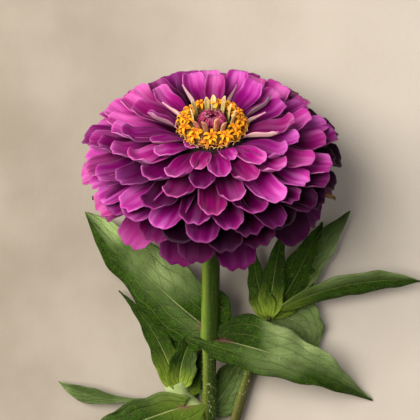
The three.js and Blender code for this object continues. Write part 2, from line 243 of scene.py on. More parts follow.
class Piece:
    """One visible piece while it is being shaped."""

    def __init__(self, name: str) -> None:
        """Start an empty piece.

        Args:
            name: The finished object's name.
        """
        self.name = name
        self.mesh = bmesh.new()
        self.layers = {mark: self.mesh.verts.layers.float.new(mark.value) for mark in Mark}

    def note(self, vert: bmesh.types.BMVert, values: dict[Mark, float]) -> None:
        """Write what a point says about its place."""
        for mark, value in values.items():
            vert[self.layers[mark]] = value

    def sheet(self, cells: tuple[int, int], place: Callable[[float, float], Vector],
              notes: dict[Mark, float],
              shade: Callable[[float, float], dict[Mark, float]] | None = None) -> None:
        """Add a thin sheet, such as a petal or a leaf.

        Args:
            cells: How many cells it has across and along.
            place: Gives the point at a share of its length and from -1 to 1 across it.
            notes: What all its points say.
            shade: Gives what each point says by itself, if any does.
        """
        made = bmesh.ops.create_grid(self.mesh, x_segments=cells[0], y_segments=cells[1], size=1.0)
        for vert in made["verts"]:
            along, across = (vert.co.y + 1) / 2, -vert.co.x
            self.note(vert, {**notes, Mark.ALONG: along, Mark.ACROSS: across})
            if shade:
                self.note(vert, shade(along, across))
            vert.co = place(along, across)

    def tube(self, cells: tuple[int, int], route: Route, radius: Callable[[float, float], float],
             notes: dict[Mark, float]) -> None:
        """Add a closed tube along a route.

        Args:
            cells: How many cells it has round and along.
            route: Its middle line.
            radius: Gives the radius at a share of its length and an angle round it.
            notes: What all its points say.
        """
        made = bmesh.ops.create_grid(self.mesh, x_segments=cells[0], y_segments=cells[1], size=1.0)
        for vert in made["verts"]:
            along, angle = (vert.co.y + 1) / 2, math.pi * vert.co.x
            self.note(vert, {**notes, Mark.ALONG: along, Mark.ACROSS: abs(vert.co.x)})
            middle, _, side, beside = route.at(along)
            outward = side * math.cos(angle) + beside * math.sin(angle)
            vert.co = middle + outward * radius(along, angle)
        bmesh.ops.remove_doubles(self.mesh, verts=made["verts"], dist=1e-5)
        loose = [e for v in made["verts"] if v.is_valid for e in v.link_edges if e.is_boundary]
        bmesh.ops.holes_fill(self.mesh, edges=list(dict.fromkeys(loose)), sides=0)

    def bead(self, cells: tuple[int, int], shape: Callable[[float], float], size: Sequence[float],
             frame_: Matrix, notes: dict[Mark, float]) -> None:
        """Add a small closed form, such as a bud: a sphere whose width follows its height.

        Args:
            cells: How many cells it has round and along.
            shape: Gives the width, as a share, at a share of the height.
            size: Half its width, half its depth and half its height.
            frame_: Where it stands, from the middle of its foot.
            notes: What all its points say.
        """
        made = bmesh.ops.create_uvsphere(
            self.mesh, u_segments=cells[0], v_segments=cells[1], radius=1.0)
        for vert in made["verts"]:
            along = (vert.co.z + 1) / 2
            ring = max(math.hypot(vert.co.x, vert.co.y), 1e-6)
            wide = shape(along) / ring if ring > 1e-3 else 0.0
            self.note(vert, {**notes, Mark.ALONG: along})
            here = Vector((vert.co.x * wide * size[0], vert.co.y * wide * size[1],
                           2 * along * size[2]))
            vert.co = frame_ @ here

    def turned(self, profile: Sequence[tuple[float, float]], sides: int, frame_: Matrix,
               notes: dict[Mark, float]) -> None:
        """Add a solid of revolution about the frame's Z axis.

        Args:
            profile: Radius and level pairs, from the axis round and back to it.
            sides: How many steps round.
            frame_: Where it stands.
            notes: What all its points say.
        """
        before = set(self.mesh.verts)
        line = [self.mesh.verts.new((radius, 0, level)) for radius, level in profile]
        for i, vert in enumerate(line):
            self.note(vert, {**notes, Mark.ALONG: i / (len(line) - 1)})
        edges = [self.mesh.edges.new(pair) for pair in zip(line, line[1:])]
        bmesh.ops.spin(self.mesh, geom=[*line, *edges], cent=(0, 0, 0), axis=(0, 0, 1),
                       dvec=(0, 0, 0), angle=2 * math.pi, steps=sides, use_merge=True,
                       use_duplicate=False)
        added = [vert for vert in self.mesh.verts if vert not in before]
        bmesh.ops.remove_doubles(self.mesh, verts=added, dist=1e-4)
        added = [vert for vert in added if vert.is_valid]
        faces = list(dict.fromkeys(face for vert in added for face in vert.link_faces))
        bmesh.ops.recalc_face_normals(self.mesh, faces=faces)
        bmesh.ops.transform(self.mesh, matrix=frame_, verts=added)

    def spike(self, radius: float, length: float, frame_: Matrix, notes: dict[Mark, float]) -> None:
        """Add a fine pointed hair that stands on the frame's origin.

        Args:
            radius: Its radius at the foot.
            length: Its length.
            frame_: Where it stands, with its length along Z.
            notes: What all its points say.
        """
        made = bmesh.ops.create_cone(self.mesh, cap_ends=False, segments=3, radius1=radius,
                                     radius2=0, depth=length,
                                     matrix=frame_ @ Matrix.Translation((0, 0, length / 2)))
        for vert in made["verts"]:
            self.note(vert, notes)

    def finish(self, node: Node, slot: Slot, finishes: Sequence[bpy.types.Material],
               thickness: float = 0.0) -> bpy.types.Object:
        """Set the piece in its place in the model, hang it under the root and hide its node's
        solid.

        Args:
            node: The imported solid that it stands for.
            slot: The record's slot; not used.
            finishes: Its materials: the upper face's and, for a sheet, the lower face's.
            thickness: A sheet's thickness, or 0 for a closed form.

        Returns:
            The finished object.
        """
        bmesh.ops.transform(self.mesh, matrix=PLACE, verts=self.mesh.verts)
        # some operators leave their faces in a different order on each run, so all are put in
        # the order in which a slanted line passes them
        slant = Vector((1.0, 0.618, 0.377))
        self.mesh.verts.sort(key=lambda vert: vert.co.dot(slant))
        self.mesh.edges.sort(key=lambda edge: (edge.verts[0].co + edge.verts[1].co).dot(slant))
        self.mesh.faces.sort(key=lambda face: face.calc_center_median().dot(slant))
        data = bpy.data.meshes.new(self.name)
        self.mesh.to_mesh(data)
        self.mesh.free()
        data.shade_smooth()
        for finish in finishes:
            data.materials.append(finish)
        piece = bpy.data.objects.new(self.name, data)
        bpy.context.scene.collection.objects.link(piece)
        if thickness:
            shell = piece.modifiers.new("thickness", "SOLIDIFY")
            shell.thickness = thickness * MM
            shell.offset = 0
            shell.material_offset = len(finishes) - 1
        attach(piece, "root")
        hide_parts(node.value)
        LOG.info("%s: %d faces", self.name, len(data.polygons))
        return piece


def linear(code: str) -> tuple[float, float, float, float]:
    """Turn an sRGB hex colour into the linear one that the shaders mix.

    Args:
        code: A colour such as "#a3148c".

    Returns:
        Red, green, blue and alpha.
    """
    parts = [int(code[i:i + 2], 16) / 255 for i in (1, 3, 5)]
    red, green, blue = (
        part / 12.92 if part <= 0.04045 else ((part + 0.055) / 1.055) ** 2.4 for part in parts)
    return red, green, blue, 1.0


def add_node(tree: bpy.types.NodeTree, kind: str, links: dict[int | str, object],
             **settings: object) -> bpy.types.Node:
    """Add a node to a material.

    Args:
        tree: The material's tree.
        kind: The node's type.
        links: For each input, the socket it is linked to or the value it is set to.
        settings: The node's own settings.

    Returns:
        The node.
    """
    node = tree.nodes.new(kind)
    for name, value in settings.items():
        setattr(node, name, value)
    for name, value in links.items():
        if isinstance(value, bpy.types.NodeSocket):
            tree.links.new(value, node.inputs[name])
        else:
            node.inputs[name].default_value = value
    return node


class Surface:
    """A material while its nodes are laid out."""

    def __init__(self, name: str) -> None:
        """Start a material with a bare shader.

        Args:
            name: The real material's name.
        """
        self.material = bpy.data.materials.new(name)
        self.material.use_nodes = True
        self.tree = self.material.node_tree
        self.shader = self.tree.nodes["Principled BSDF"]

    def mark(self, mark: Mark) -> bpy.types.NodeSocket:
        """Return what the piece's points say about their place."""
        return add_node(self.tree, "ShaderNodeAttribute", {}, attribute_name=mark.value).outputs[2]

    def maths(self, operation: str, *values: object) -> bpy.types.NodeSocket:
        """Return the result of a sum on sockets or numbers."""
        links = dict(enumerate(values))
        return add_node(self.tree, "ShaderNodeMath", links, operation=operation).outputs[0]

    def step(self, value: object, start: float, end: float, low: float = 0.0,
             high: float = 1.0) -> bpy.types.NodeSocket:
        """Return a soft step of a socket.

        Args:
            value: The socket that is read.
            start: Where the step begins.
            end: Where it ends.
            low: What it gives before the step.
            high: What it gives after it.

        Returns:
            The socket that gives the step.
        """
        links = {0: value, 1: start, 2: end, 3: low, 4: high}
        return add_node(self.tree, "ShaderNodeMapRange", links,
                        interpolation_type="SMOOTHSTEP").outputs[0]

    def blend(self, share: object, first: object, second: object) -> bpy.types.NodeSocket:
        """Return one colour mixed with another.

        Args:
            share: How much of the second one shows.
            first: A hex colour or a socket.
            second: A hex colour or a socket.

        Returns:
            The socket that gives the colour.
        """
        colours = [linear(c) if isinstance(c, str) else c for c in (first, second)]
        links = {0: share, 6: colours[0], 7: colours[1]}
        return add_node(self.tree, "ShaderNodeMix", links, data_type="RGBA").outputs[2]

    def grain(self, vector: object, scale: float, detail: float = 2.0,
              roughness: float = 0.5) -> bpy.types.NodeSocket:
        """Return a soft noise of this scale over the vector."""
        links = {"Vector": vector, "Scale": scale, "Detail": detail, "Roughness": roughness}
        return add_node(self.tree, "ShaderNodeTexNoise", links).outputs[0]

    def place(self) -> bpy.types.NodeSocket:
        """Return the point's own place on the object, in metres."""
        return add_node(self.tree, "ShaderNodeTexCoord", {}).outputs["Object"]

    def spread(self, *values: object) -> bpy.types.NodeSocket:
        """Return three sockets or numbers as one vector."""
        return add_node(self.tree, "ShaderNodeCombineXYZ", dict(enumerate(values))).outputs[0]

    def finish(self, colour: object, roughness: object, height: object = None,
               relief: float = 0.1, **constants: object) -> bpy.types.Material:
        """Connect the shader.

        Args:
            colour: The socket or hex colour of the surface.
            roughness: A socket or a number.
            height: The socket of the relief, if it has one.
            relief: How high the relief stands, in millimetres.
            constants: Other settings of the shader, by the socket's name with _ for a space.

        Returns:
            The material.
        """
        links = {"Base Color": linear(colour) if isinstance(colour, str) else colour,
                 "Roughness": roughness}
        if height is not None:
            bump = {"Height": height, "Distance": relief * MM, "Strength": 1.0}
            links["Normal"] = add_node(self.tree, "ShaderNodeBump", bump).outputs[0]
        for name, value in links.items():
            if isinstance(value, bpy.types.NodeSocket):
                self.tree.links.new(value, self.shader.inputs[name])
            else:
                self.shader.inputs[name].default_value = value
        for name, value in constants.items():
            self.shader.inputs[name.replace("_", " ")].default_value = value
        return self.material


@dataclass(frozen=True)
class PetalFace:
    """Zinnia petal skin: a velvety cell layer, matt with a soft sheen, streaked from claw to tip.

    The eye sees fine darker streaks about 0.5 mm apart, a pale thin rim and a darker claw; the
    rim, the tip and broad pale bands carry painted highlight, and the claw and the tone painted
    shade.
    """

    name: str
    deep: str
    body: str
    light: str
    rim: str
    claw: str
    young: str = ""
    shine: float = 0.04

    def material(self) -> bpy.types.Material:
        """Lay out the petal's material.

        Returns:
            The material.
        """
        skin = Surface(self.name)
        along, across = skin.mark(Mark.ALONG), skin.mark(Mark.ACROSS)
        age, tone = skin.mark(Mark.AGE), skin.mark(Mark.TONE)
        side = skin.maths("ABSOLUTE", across)
        # fine streaks, 17 to half a petal's width of 8 mm, and broad ones 3.6 mm wide
        lane = skin.spread(skin.maths("MULTIPLY", across, 17.0), skin.maths("MULTIPLY", along, 1.6),
                           skin.maths("MULTIPLY", tone, 40.0))
        streak = skin.grain(lane, 1.0, 3.0, 0.6)
        broad = skin.grain(skin.spread(skin.maths("MULTIPLY", across, 2.2),
                                       skin.maths("MULTIPLY", along, 1.6),
                                       skin.maths("MULTIPLY", tone, 23.0)), 1.0, 1.0)
        colour = skin.blend(skin.step(streak, 0.2, 0.75), self.deep, self.body)
        # painted highlight: broad pale bands of the light colour
        colour = skin.blend(skin.step(broad, 0.4, 0.75, 0.0, 0.4), colour, self.light)
        # paler towards the tip as a painted highlight, and darker towards the claw as painted shade
        # where the rows above cover it; both sit further up on a petal whose tone is dark
        reach = skin.maths("ADD", along, skin.maths("MULTIPLY", tone, 0.3))
        tip = skin.maths("MULTIPLY", skin.step(reach, 0.6, 1.0, 0.0, 0.45),
                         skin.step(broad, 0.3, 0.6, 0.3, 1.0))
        colour = skin.blend(tip, colour, self.light)
        shade = skin.maths("MULTIPLY", skin.step(reach, 0.28, 0.97, 0.96, 0.0),
                           skin.step(age, 0.0, 0.3, 0.45, 1.0))
        colour = skin.blend(shade, colour, self.claw)
        if self.young:
            colour = skin.blend(skin.step(age, 0.03, 0.11, 0.85, 0.0), colour, self.young)
        # the thin pale rim round the spoon, stronger towards the tip: the margin's own paler colour
        # and a painted highlight where the edge catches the light
        rim = skin.maths("MAXIMUM", skin.step(side, 0.9, 1.0), skin.step(along, 0.955, 1.0))
        rim = skin.maths("MULTIPLY", rim, skin.step(along, 0.25, 0.6, 0.02, 0.11))
        colour = skin.blend(rim, colour, self.rim)
        # the oldest, lowest rows turn wine red, their own colour and painted shade under the rows
        # above; each petal's hue and depth follow its tone, which differs at random and carries
        # painted shade, darker and more violet on the lower right and at the back
        aged_and_shaded = skin.step(age, 0.8, 0.97, 0.0, 0.5)
        colour = skin.blend(aged_and_shaded, colour, "#6a0c4c")
        lit = skin.step(tone, -1.7, 0.75, 0.27, 1.13)
        own = skin.grain(skin.spread(skin.maths("MULTIPLY", tone, 61.0), 0.0, 0.0), 1.0, 0.0)
        hue = skin.maths("ADD", skin.step(tone, -1.4, 1.0, 0.484, 0.506),
                         skin.step(own, 0.25, 0.75, -0.018, 0.016))
        colour = add_node(skin.tree, "ShaderNodeHueSaturation",
                          {"Hue": hue, "Value": lit, "Color": colour}).outputs[0]
        height = skin.maths("ADD", streak, skin.maths("MULTIPLY", broad, 0.7))
        return skin.finish(colour, skin.step(streak, 0.2, 0.8, 0.62, 0.48), height, 0.22,
                           Sheen_Weight=self.shine, Sheen_Roughness=0.35,
                           Sheen_Tint=linear("#ffd4ec"), Specular_IOR_Level=0.06,
                           Subsurface_Weight=0.05, Subsurface_Radius=(1.0, 0.25, 0.7),
                           Subsurface_Scale=0.0012)


@dataclass(frozen=True)
class LeafFace:
    """Zinnia leaf: a soft matt blade with sunken nerves, a fine net of veins, and short down.

    The eye sees a dull green with pale patches, a painted highlight where the down catches the
    light; the tone that each leaf gives its points also paints its lit and shaded parts.
    """

    name: str
    deep: str
    body: str
    pale: str
    nerve: str
    raised: float = -1.0

    def material(self) -> bpy.types.Material:
        """Lay out the leaf's material.

        Returns:
            The material.
        """
        skin = Surface(self.name)
        along, across = skin.mark(Mark.ALONG), skin.mark(Mark.ACROSS)
        young, tone = skin.mark(Mark.AGE), skin.mark(Mark.TONE)
        side = skin.maths("ABSOLUTE", across)
        place = skin.place()
        mottle = skin.grain(place, per_metre(3.85), 3.0, 0.65)
        patch = skin.grain(place, per_metre(20.8), 2.0)
        colour = skin.blend(skin.step(mottle, 0.18, 0.95), self.deep, self.body)
        # painted highlight and shade: the blade pales in patches where the down catches the light,
        # and with its tone, which the leaves raise on lit halves and lower on shaded feet and ends
        bloom = skin.maths("MULTIPLY", skin.step(tone, -0.7, 1.1, 0.0, 0.95),
                           skin.step(patch, 0.35, 0.68, 0.25, 1.0))
        colour = skin.blend(bloom, colour, self.pale)
        # the net of small veins
        net = add_node(skin.tree, "ShaderNodeTexVoronoi",
                       {"Vector": place, "Scale": per_metre(1.11)},
                       feature="DISTANCE_TO_EDGE").outputs[0]
        net = skin.step(net, 0.0, 0.12, 1.0, 0.0)
        # the midrib, the long nerves beside it and the short side veins
        midrib = skin.step(skin.maths("MULTIPLY", side, skin.step(young, 0.0, 1.0, 1.0, 0.45)),
                           0.006, 0.036, 1.0, 0.0)
        away = [skin.maths("ABSOLUTE", skin.maths("SUBTRACT", side, lane))
                for lane, _ in NERVES[1:]]
        pair, outer = (skin.step(distance, 0.0, 0.035, 1.0, 0.0) for distance in away)
        lengthwise = skin.maths("MULTIPLY", skin.maths("MAXIMUM", pair, outer),
                                skin.step(along, 0.25, 0.9, 1.0, 0.15))
        branch = skin.maths("SUBTRACT", skin.maths("MULTIPLY", along, SIDE_VEINS),
                            skin.maths("MULTIPLY", side, VEIN_SLANT))
        branch = skin.maths("PINGPONG", branch, 0.5)
        branch = skin.step(branch, 0.0, 0.06, 0.5, 0.0)
        nerves = skin.maths("MAXIMUM", midrib, skin.maths("MAXIMUM", lengthwise, branch))
        shown = skin.maths("MAXIMUM", skin.maths("MULTIPLY", nerves, 0.34),
                           skin.maths("MULTIPLY", net, 0.17))
        colour = skin.blend(shown, colour, self.nerve)
        paler = skin.maths("MULTIPLY", midrib, skin.step(along, 0.1, 0.5, 0.55, 0.1))
        colour = skin.blend(paler, colour, "#b9be86")
        # yellow-green at the foot of a young leaf, and a wine-red blush where an old one starts
        fresh = skin.maths("MULTIPLY", young, skin.step(along, 0.02, 0.4, 0.8, 0.0))
        colour = skin.blend(fresh, colour, "#8fa636")
        foot = skin.maths("MULTIPLY", skin.step(along, 0.02, 0.11, 0.85, 0.0),
                          skin.step(side, 0.04, 0.26, 0.8, 0.0))
        foot = skin.maths("MULTIPLY", foot, skin.step(young, 0.2, 0.8, 1.0, 0.15))
        colour = skin.blend(foot, colour, "#8a4a55")
        # painted shade: a low tone, set on a leaf's shaded half, foot or end, darkens the blade
        lit = skin.step(tone, -2.4, -0.4, 0.55, 1.0)
        colour = add_node(skin.tree, "ShaderNodeHueSaturation",
                          {"Value": lit, "Color": colour}).outputs[0]
        lines = skin.maths("ADD", nerves, skin.maths("MULTIPLY", net, 0.28))
        height = skin.maths("MULTIPLY", lines, self.raised)
        height = skin.maths("ADD", height, skin.maths("MULTIPLY", mottle, 0.8))
        return skin.finish(colour, skin.step(mottle, 0.3, 0.7, 0.58, 0.7), height, 0.6,
                           Sheen_Weight=0.01, Sheen_Roughness=0.45,
                           Sheen_Tint=linear("#e8f2cf"), Specular_IOR_Level=0.06,
                           Subsurface_Weight=0.08, Subsurface_Radius=(0.5, 1.0, 0.2),
                           Subsurface_Scale=0.0008)


@dataclass(frozen=True)
class StemSkin:
    """Green stem skin: fine lengthwise ribs, green above and brownish olive towards the cut,
    with painted shade on the side turned from the light.
    """

    name: str
    upper: str
    lower: str
    rib: str
    shade: str
    turn_from: float
    turn_to: float

    def material(self) -> bpy.types.Material:
        """Lay out the stem's material.

        Returns:
            The material.
        """
        skin = Surface(self.name)
        along, round_ = skin.mark(Mark.ALONG), skin.mark(Mark.ACROSS)
        tone = skin.mark(Mark.TONE)
        # ribs about 0.7 mm apart: 16 in half the way round a stem of 3.5 mm radius
        lane = skin.spread(skin.maths("MULTIPLY", round_, 16.0), skin.maths("MULTIPLY", along, 9.0),
                           0.0)
        streak = skin.grain(lane, 1.0, 3.0, 0.6)
        colour = skin.blend(skin.step(along, self.turn_from, self.turn_to), self.upper, self.lower)
        # painted shade: the half of the stem turned away from the key light takes the shade colour
        colour = skin.blend(skin.step(round_, 0.5, 0.8, 0.96, 0.0), colour, self.shade)
        colour = skin.blend(skin.step(streak, 0.45, 0.7, 0.0, 0.7), colour, self.rib)
        # pale flecks at the feet of the hairs, more of them towards the cut
        flecks = skin.grain(skin.place(), per_metre(1.11), 2.0)
        spots = skin.maths("MULTIPLY", skin.step(flecks, 0.6, 0.72, 0.0, 0.45),
                           skin.step(along, 0.42, 0.6, 0.1, 1.0))
        colour = skin.blend(spots, colour, "#d3cf9c")
        colour = skin.blend(tone, colour, "#c6cb9a")
        height = skin.maths("ADD", streak, skin.maths("MULTIPLY", flecks, 0.6))
        return skin.finish(colour, 0.52, height, 0.2, Sheen_Weight=0.02, Sheen_Roughness=0.5,
                           Sheen_Tint=linear("#f2f5dc"), Specular_IOR_Level=0.12,
                           Subsurface_Weight=0.1, Subsurface_Radius=(0.6, 1.0, 0.3),
                           Subsurface_Scale=0.001)


@dataclass(frozen=True)
class SoftTissue:
    """A small floral part, such as a bud, lobe, scale or style: dull, with foot, body and tip."""

    name: str
    foot: str
    body: str
    tip: str
    roughness: float = 0.6
    speckle: float = 0.833
    sheen: float = 0.2
    glow: float = 0.1
    blush: str = ""

    def material(self) -> bpy.types.Material:
        """Lay out the tissue's material.

        Returns:
            The material.
        """
        skin = Surface(self.name)
        along, tone = skin.mark(Mark.ALONG), skin.mark(Mark.TONE)
        grain = skin.grain(skin.place(), per_metre(self.speckle), 2.0)
        colour = skin.blend(skin.step(along, 0.05, 0.5), self.foot, self.body)
        colour = skin.blend(skin.step(along, 0.65, 1.0), colour, self.tip)
        if self.blush:
            centre = skin.step(skin.maths("ABSOLUTE", skin.mark(Mark.ACROSS)), 0.55, 1.0, 1.0, 0.25)
            colour = skin.blend(skin.maths("MULTIPLY", skin.mark(Mark.AGE), centre), colour,
                                self.blush)
        value = skin.maths("MULTIPLY", skin.step(grain, 0.25, 0.75, 0.82, 1.12),
                           skin.step(tone, -1.0, 1.0, 0.8, 1.15))
        colour = add_node(skin.tree, "ShaderNodeHueSaturation",
                          {"Value": value, "Color": colour}).outputs[0]
        return skin.finish(colour, self.roughness, grain, 0.12, Sheen_Weight=self.sheen,
                           Sheen_Roughness=0.4, Specular_IOR_Level=0.3, Subsurface_Weight=self.glow,
                           Subsurface_Radius=(1.0, 0.6, 0.3), Subsurface_Scale=0.0006)


@dataclass(frozen=True)
class Tabletop:
    """Pale limewashed plaster board: matt, a warm beige with a faint cloudiness, and paler towards
    the right as painted light.
    """

    name: str = "limewashed_board"
    light: str = "#a09687"
    dark: str = "#908575"
    painted_light: str = "#cac1b4"

    def material(self) -> bpy.types.Material:
        """Lay out the board's material.

        Returns:
            The material.
        """
        skin = Surface(self.name)
        cloud = skin.grain(skin.place(), per_metre(45.5), 3.0)
        colour = skin.blend(skin.step(cloud, 0.3, 0.7), self.light, self.dark)
        # painted light and shade: the board is paler towards the right, where the flower's shadow
        # falls, and darker towards the left
        right = add_node(skin.tree, "ShaderNodeSeparateXYZ", {0: skin.place()}).outputs[0]
        colour = skin.blend(skin.step(right, -0.11, 0.08, 0.0, 0.55), colour, self.painted_light)
        fine = skin.grain(skin.place(), per_metre(2.38), 3.0)
        return skin.finish(colour, 0.85, fine, 0.12)


@dataclass
class RayPetals:
    """The ray petals, in one spiral from the disc down to the oldest, lowest ones.

    Their tips lie on a dome about the disc's axis: a circle of this radius at its widest level,
    and half an ellipse that rises above that level and one that drops below it. The arc is where
    the first and the last tip are on it, as an angle from the axis. A root is a radius and a level.
    """

    count: int = 134
    first: float = math.radians(236)
    widths: tuple[float, float] = (8.2, 17.6)
    furled: int = 9
    thickness: float = 0.35
    radius: float = 50.8
    widest: float = -17.5
    rise: float = 24.0
    drop: float = 40.0
    arc: tuple[float, float] = (math.radians(25), math.radians(122))
    youngest_root: tuple[float, float] = (11.0, -2.4)
    oldest_root: tuple[float, float] = (8.9, -19)
    cells: tuple[int, int] = (12, 16)

    def azimuth(self, n: int) -> float:
        """Return which way a petal points from the disc's middle."""
        return self.first + n * GOLDEN_ANGLE + 0.05 * draw(n, 3)

    def midline(self, n: int, age: float) -> list[Vector]:
        """Lay the middle line of a petal.

        Args:
            n: Which petal, counted from the disc.
            age: 0 beside the disc and 1 at the bottom.

        Returns:
            The handles of its curve, as radius and level.
        """
        arc = mix(*self.arc, age ** 0.88) + 0.05 * draw(n, 1)
        # the rows below the middle are held up a little, clear of the last ones, which hang
        arc -= 0.19 * smooth(age, 0.5, 0.84) * (1 - smooth(age, 0.86, 0.92))
        reach = self.rise if arc < math.pi / 2 else self.drop
        # the youngest ones in front are short, so that the disc shows
        short = smooth(-math.sin(self.azimuth(n)), 0.2, 0.8) * (1 - smooth(age, 0.02, 0.14))
        tip = Vector((self.radius * math.sin(arc) + 1.8 * draw(n, 2) - 2.0 * short,
                      self.widest + reach * math.cos(arc) - 4.2 * short))
        root = Vector(self.youngest_root).lerp(Vector(self.oldest_root), age)
        # it leaves its root upwards, and an older one bends down to its tip
        chord = (tip - root) * 0.38
        rising = Matrix.Rotation(math.radians(mix(14, 32, age)), 2) @ chord
        falling = Matrix.Rotation(-math.radians(mix(-6, 34, smooth(age, 0.35, 1.0))), 2) @ chord
        return [root, root + rising, tip - falling, tip]

    def petal(self, piece: Piece, n: int) -> None:
        """Add one spoon-shaped petal with a narrow claw and an upturned rim.

        Args:
            piece: The piece that gathers the petals.
            n: Which petal, counted from the disc.
        """
        age = n / (self.count - 1)
        handles = self.midline(n, age)
        azimuth = self.azimuth(n)
        outward = Vector((math.cos(azimuth), math.sin(azimuth), 0))
        beside = Vector((-math.sin(azimuth), math.cos(azimuth), 0))
        # how far it is still furled: the first few at the back are straight, narrow and turned
        furl = (1 - smooth(n, self.furled - 4, self.furled + 4)) * smooth(outward.y, -0.6, 0.0)
        half = 0.5 * mix(*self.widths, age ** 0.6) * (1 + 0.08 * draw(n, 4)) * mix(1, 0.56, furl)
        for i, share in ((1, 0.33), (2, 0.67)):
            handles[i] = handles[i].lerp(handles[0].lerp(handles[3], share), furl)
        # how it is cupped across, tilted, turned up at the tip, narrowed at the claw and twisted
        curl = (mix(0.95, 0.4, age) + 0.5 * furl) * (1 + 0.25 * draw(n, 5))
        roll = 0.1 * draw(n, 6)
        upturn = mix(0.5, 0.24, age) * (1 + 0.5 * draw(n, 7))
        upturn *= mix(1, smooth(age, 0.02, 0.22), smooth(-outward.y, 0, 0.7)) * (1 - furl)
        claw = mix(0.5, 0.22, smooth(age, 0.0, 0.2))
        turn = 1.25 * furl * math.copysign(1, -outward.x) * (1 + 0.25 * draw(n, 11))
        # the tip's rounded corners, and the three small notches in it
        length = (handles[3] - handles[0]).length
        corner = 0.38 * half / length
        notch = 0.6 / length * smooth(age, 0.1, 0.5) * (1 + draw(n, 8))

        def place(share: float, across: float) -> Vector:
            """Return the petal's point, on the table or above it.

            Args:
                share: How far along the petal, from its claw at 0 to its tip.
                across: How far across it, from -1 to 1.

            Returns:
                The point.
            """
            u = 1 - (1 - share) ** 1.25
            square = across * across
            notches = notch * math.cos(1.5 * math.pi * across) ** 2
            reach = u - u ** 5 * (corner * square ** 1.8 + notches)
            # a narrow claw, a broad spoon and a slightly narrower tip
            outline = mix(claw, 1, smooth(u, 0.02, 0.58)) * mix(1, 0.86, smooth(u, 0.8, 1) ** 1.5)
            outline *= 1 - 0.75 * furl * smooth(u, 0.35, 1)
            # an arc across, then the tilt, the upturned tip, three ribs and an old blade's waves
            bow = max(curl * smooth(u, 0, 0.5), 0.02)
            wide = half * outline * math.sin(across * bow) / bow
            lift = half * outline * (1 - math.cos(across * bow)) / bow
            lift += roll * wide * u + upturn * half * smooth(u, 0.7, 1) ** 2
            lift += 0.16 * math.cos(3 * math.pi * across) * smooth(u, 0.15, 0.5)
            lift += 0.06 * half * age * square * math.sin(8 * u + 3 * draw(n, 9) + 2 * across)
            about = turn * smooth(u, 0, 0.2)
            wide, lift = (wide * math.cos(about) - lift * math.sin(about),
                          wide * math.sin(about) + lift * math.cos(about))
            middle, ahead = bezier(handles, max(reach, 0.0))
            here = outward * (middle.x - ahead.y * lift) + beside * wide
            here.z = middle.y + ahead.x * lift
            here = BLOOM @ here
            here.z = max(here.z, self.thickness / 2)
            return here

        # painted shade: the older petals on the lower right are the deepest in colour, and those at
        # the back a little darker, through a tone that otherwise differs at random
        low = smooth(0.78 * outward.x - 0.62 * outward.y, -0.45, 0.75)
        low *= mix(0.02, 1.3, smooth(age, 0.22, 0.78)) * (1 - 0.4 * smooth(age, 0.84, 0.93))
        back = smooth(outward.y, 0, 0.8)
        tone = mix(0.55, 0.75, age) * draw(n, 10) - 1.4 * low - 0.15 * back
        piece.sheet(self.cells, place, {Mark.AGE: age, Mark.TONE: tone})

    def build(self, faces: Sequence[bpy.types.Material]) -> bpy.types.Object:
        """Build all the petals as one piece.

        Args:
            faces: The upper face's material and the lower face's.

        Returns:
            The finished object.
        """
        piece = Piece("ray_petals_velvet")
        for n in range(self.count):
            self.petal(piece, n)
        return piece.finish(Node.PETALS, Slot.PETAL, faces, self.thickness)


@dataclass
class WitheredSlips:
    """Old petals that have dried to narrow curled slips at the bloom's edge.

    A place is the angle round the disc's axis, and the radius and level where the slip starts.
    """

    places: tuple[tuple[float, float, float], ...] = (
        (math.radians(44), 45.0, -9.0), (math.radians(-22), 45.5, -20.0),
        (math.radians(200), 43.5, -22.0))
    length: float = 7.0
    width: float = 4.0
    thickness: float = 0.3

    def build(self, skin: bpy.types.Material) -> bpy.types.Object:
        """Build the slips.

        Args:
            skin: The slips' material.

        Returns:
            The finished object.
        """
        piece = Piece("withered_petals")
        for k, (azimuth, radius, level) in enumerate(self.places):
            stand = BLOOM @ about_z(azimuth) @ Matrix.Translation((radius, 0, level))

            def place(share: float, across: float) -> Vector:
                """Return the slip's point: rolled in, wrinkled and hooked at the end.

                Args:
                    share: How far along it, from 0 to 1.
                    across: How far across it, from -1 to 1.

                Returns:
                    The point.
                """
                wide = 0.5 * self.width * math.sin(math.pi * mix(0.2, 0.93, share)) ** 0.6
                roll = 2.2 * across
                wrinkle = 0.35 * math.sin(9 * share + 4 * across + k)
                hook = 1.8 * share ** 2 * draw(k, 91)
                height = wide * (1 - math.cos(roll)) / 2 - 2.4 * share ** 2 + wrinkle
                return stand @ Vector((self.length * share, wide * math.sin(roll) / 2 + hook,
                                       height))

            piece.sheet((8, 12), place, {Mark.TONE: draw(k, 92)})
        return piece.finish(Node.PETALS, Slot.PETAL, [skin], self.thickness)


@dataclass
class Receptacle:
    """The fleshy cone that petals and florets grow from, painted nearly black as shade where it
    shows between them.
    """

    profile: tuple[tuple[float, float], ...] = (
        (0, -29.5), (5, -29.5), (9.2, -22.2), (10, -19.8), (14.6, -16.4), (16, -12), (15.5, -7),
        (13, -2.8), (12.2, -1.4), (0, -1.4))

    def build(self, skin: bpy.types.Material) -> bpy.types.Object:
        """Build the cone.

        Args:
            skin: The cone's material.

        Returns:
            The finished object.
        """
        piece = Piece("receptacle_cone")
        piece.turned(self.profile, 48, BLOOM, {})
        return piece.finish(Node.PETALS, Slot.PETAL, [skin])


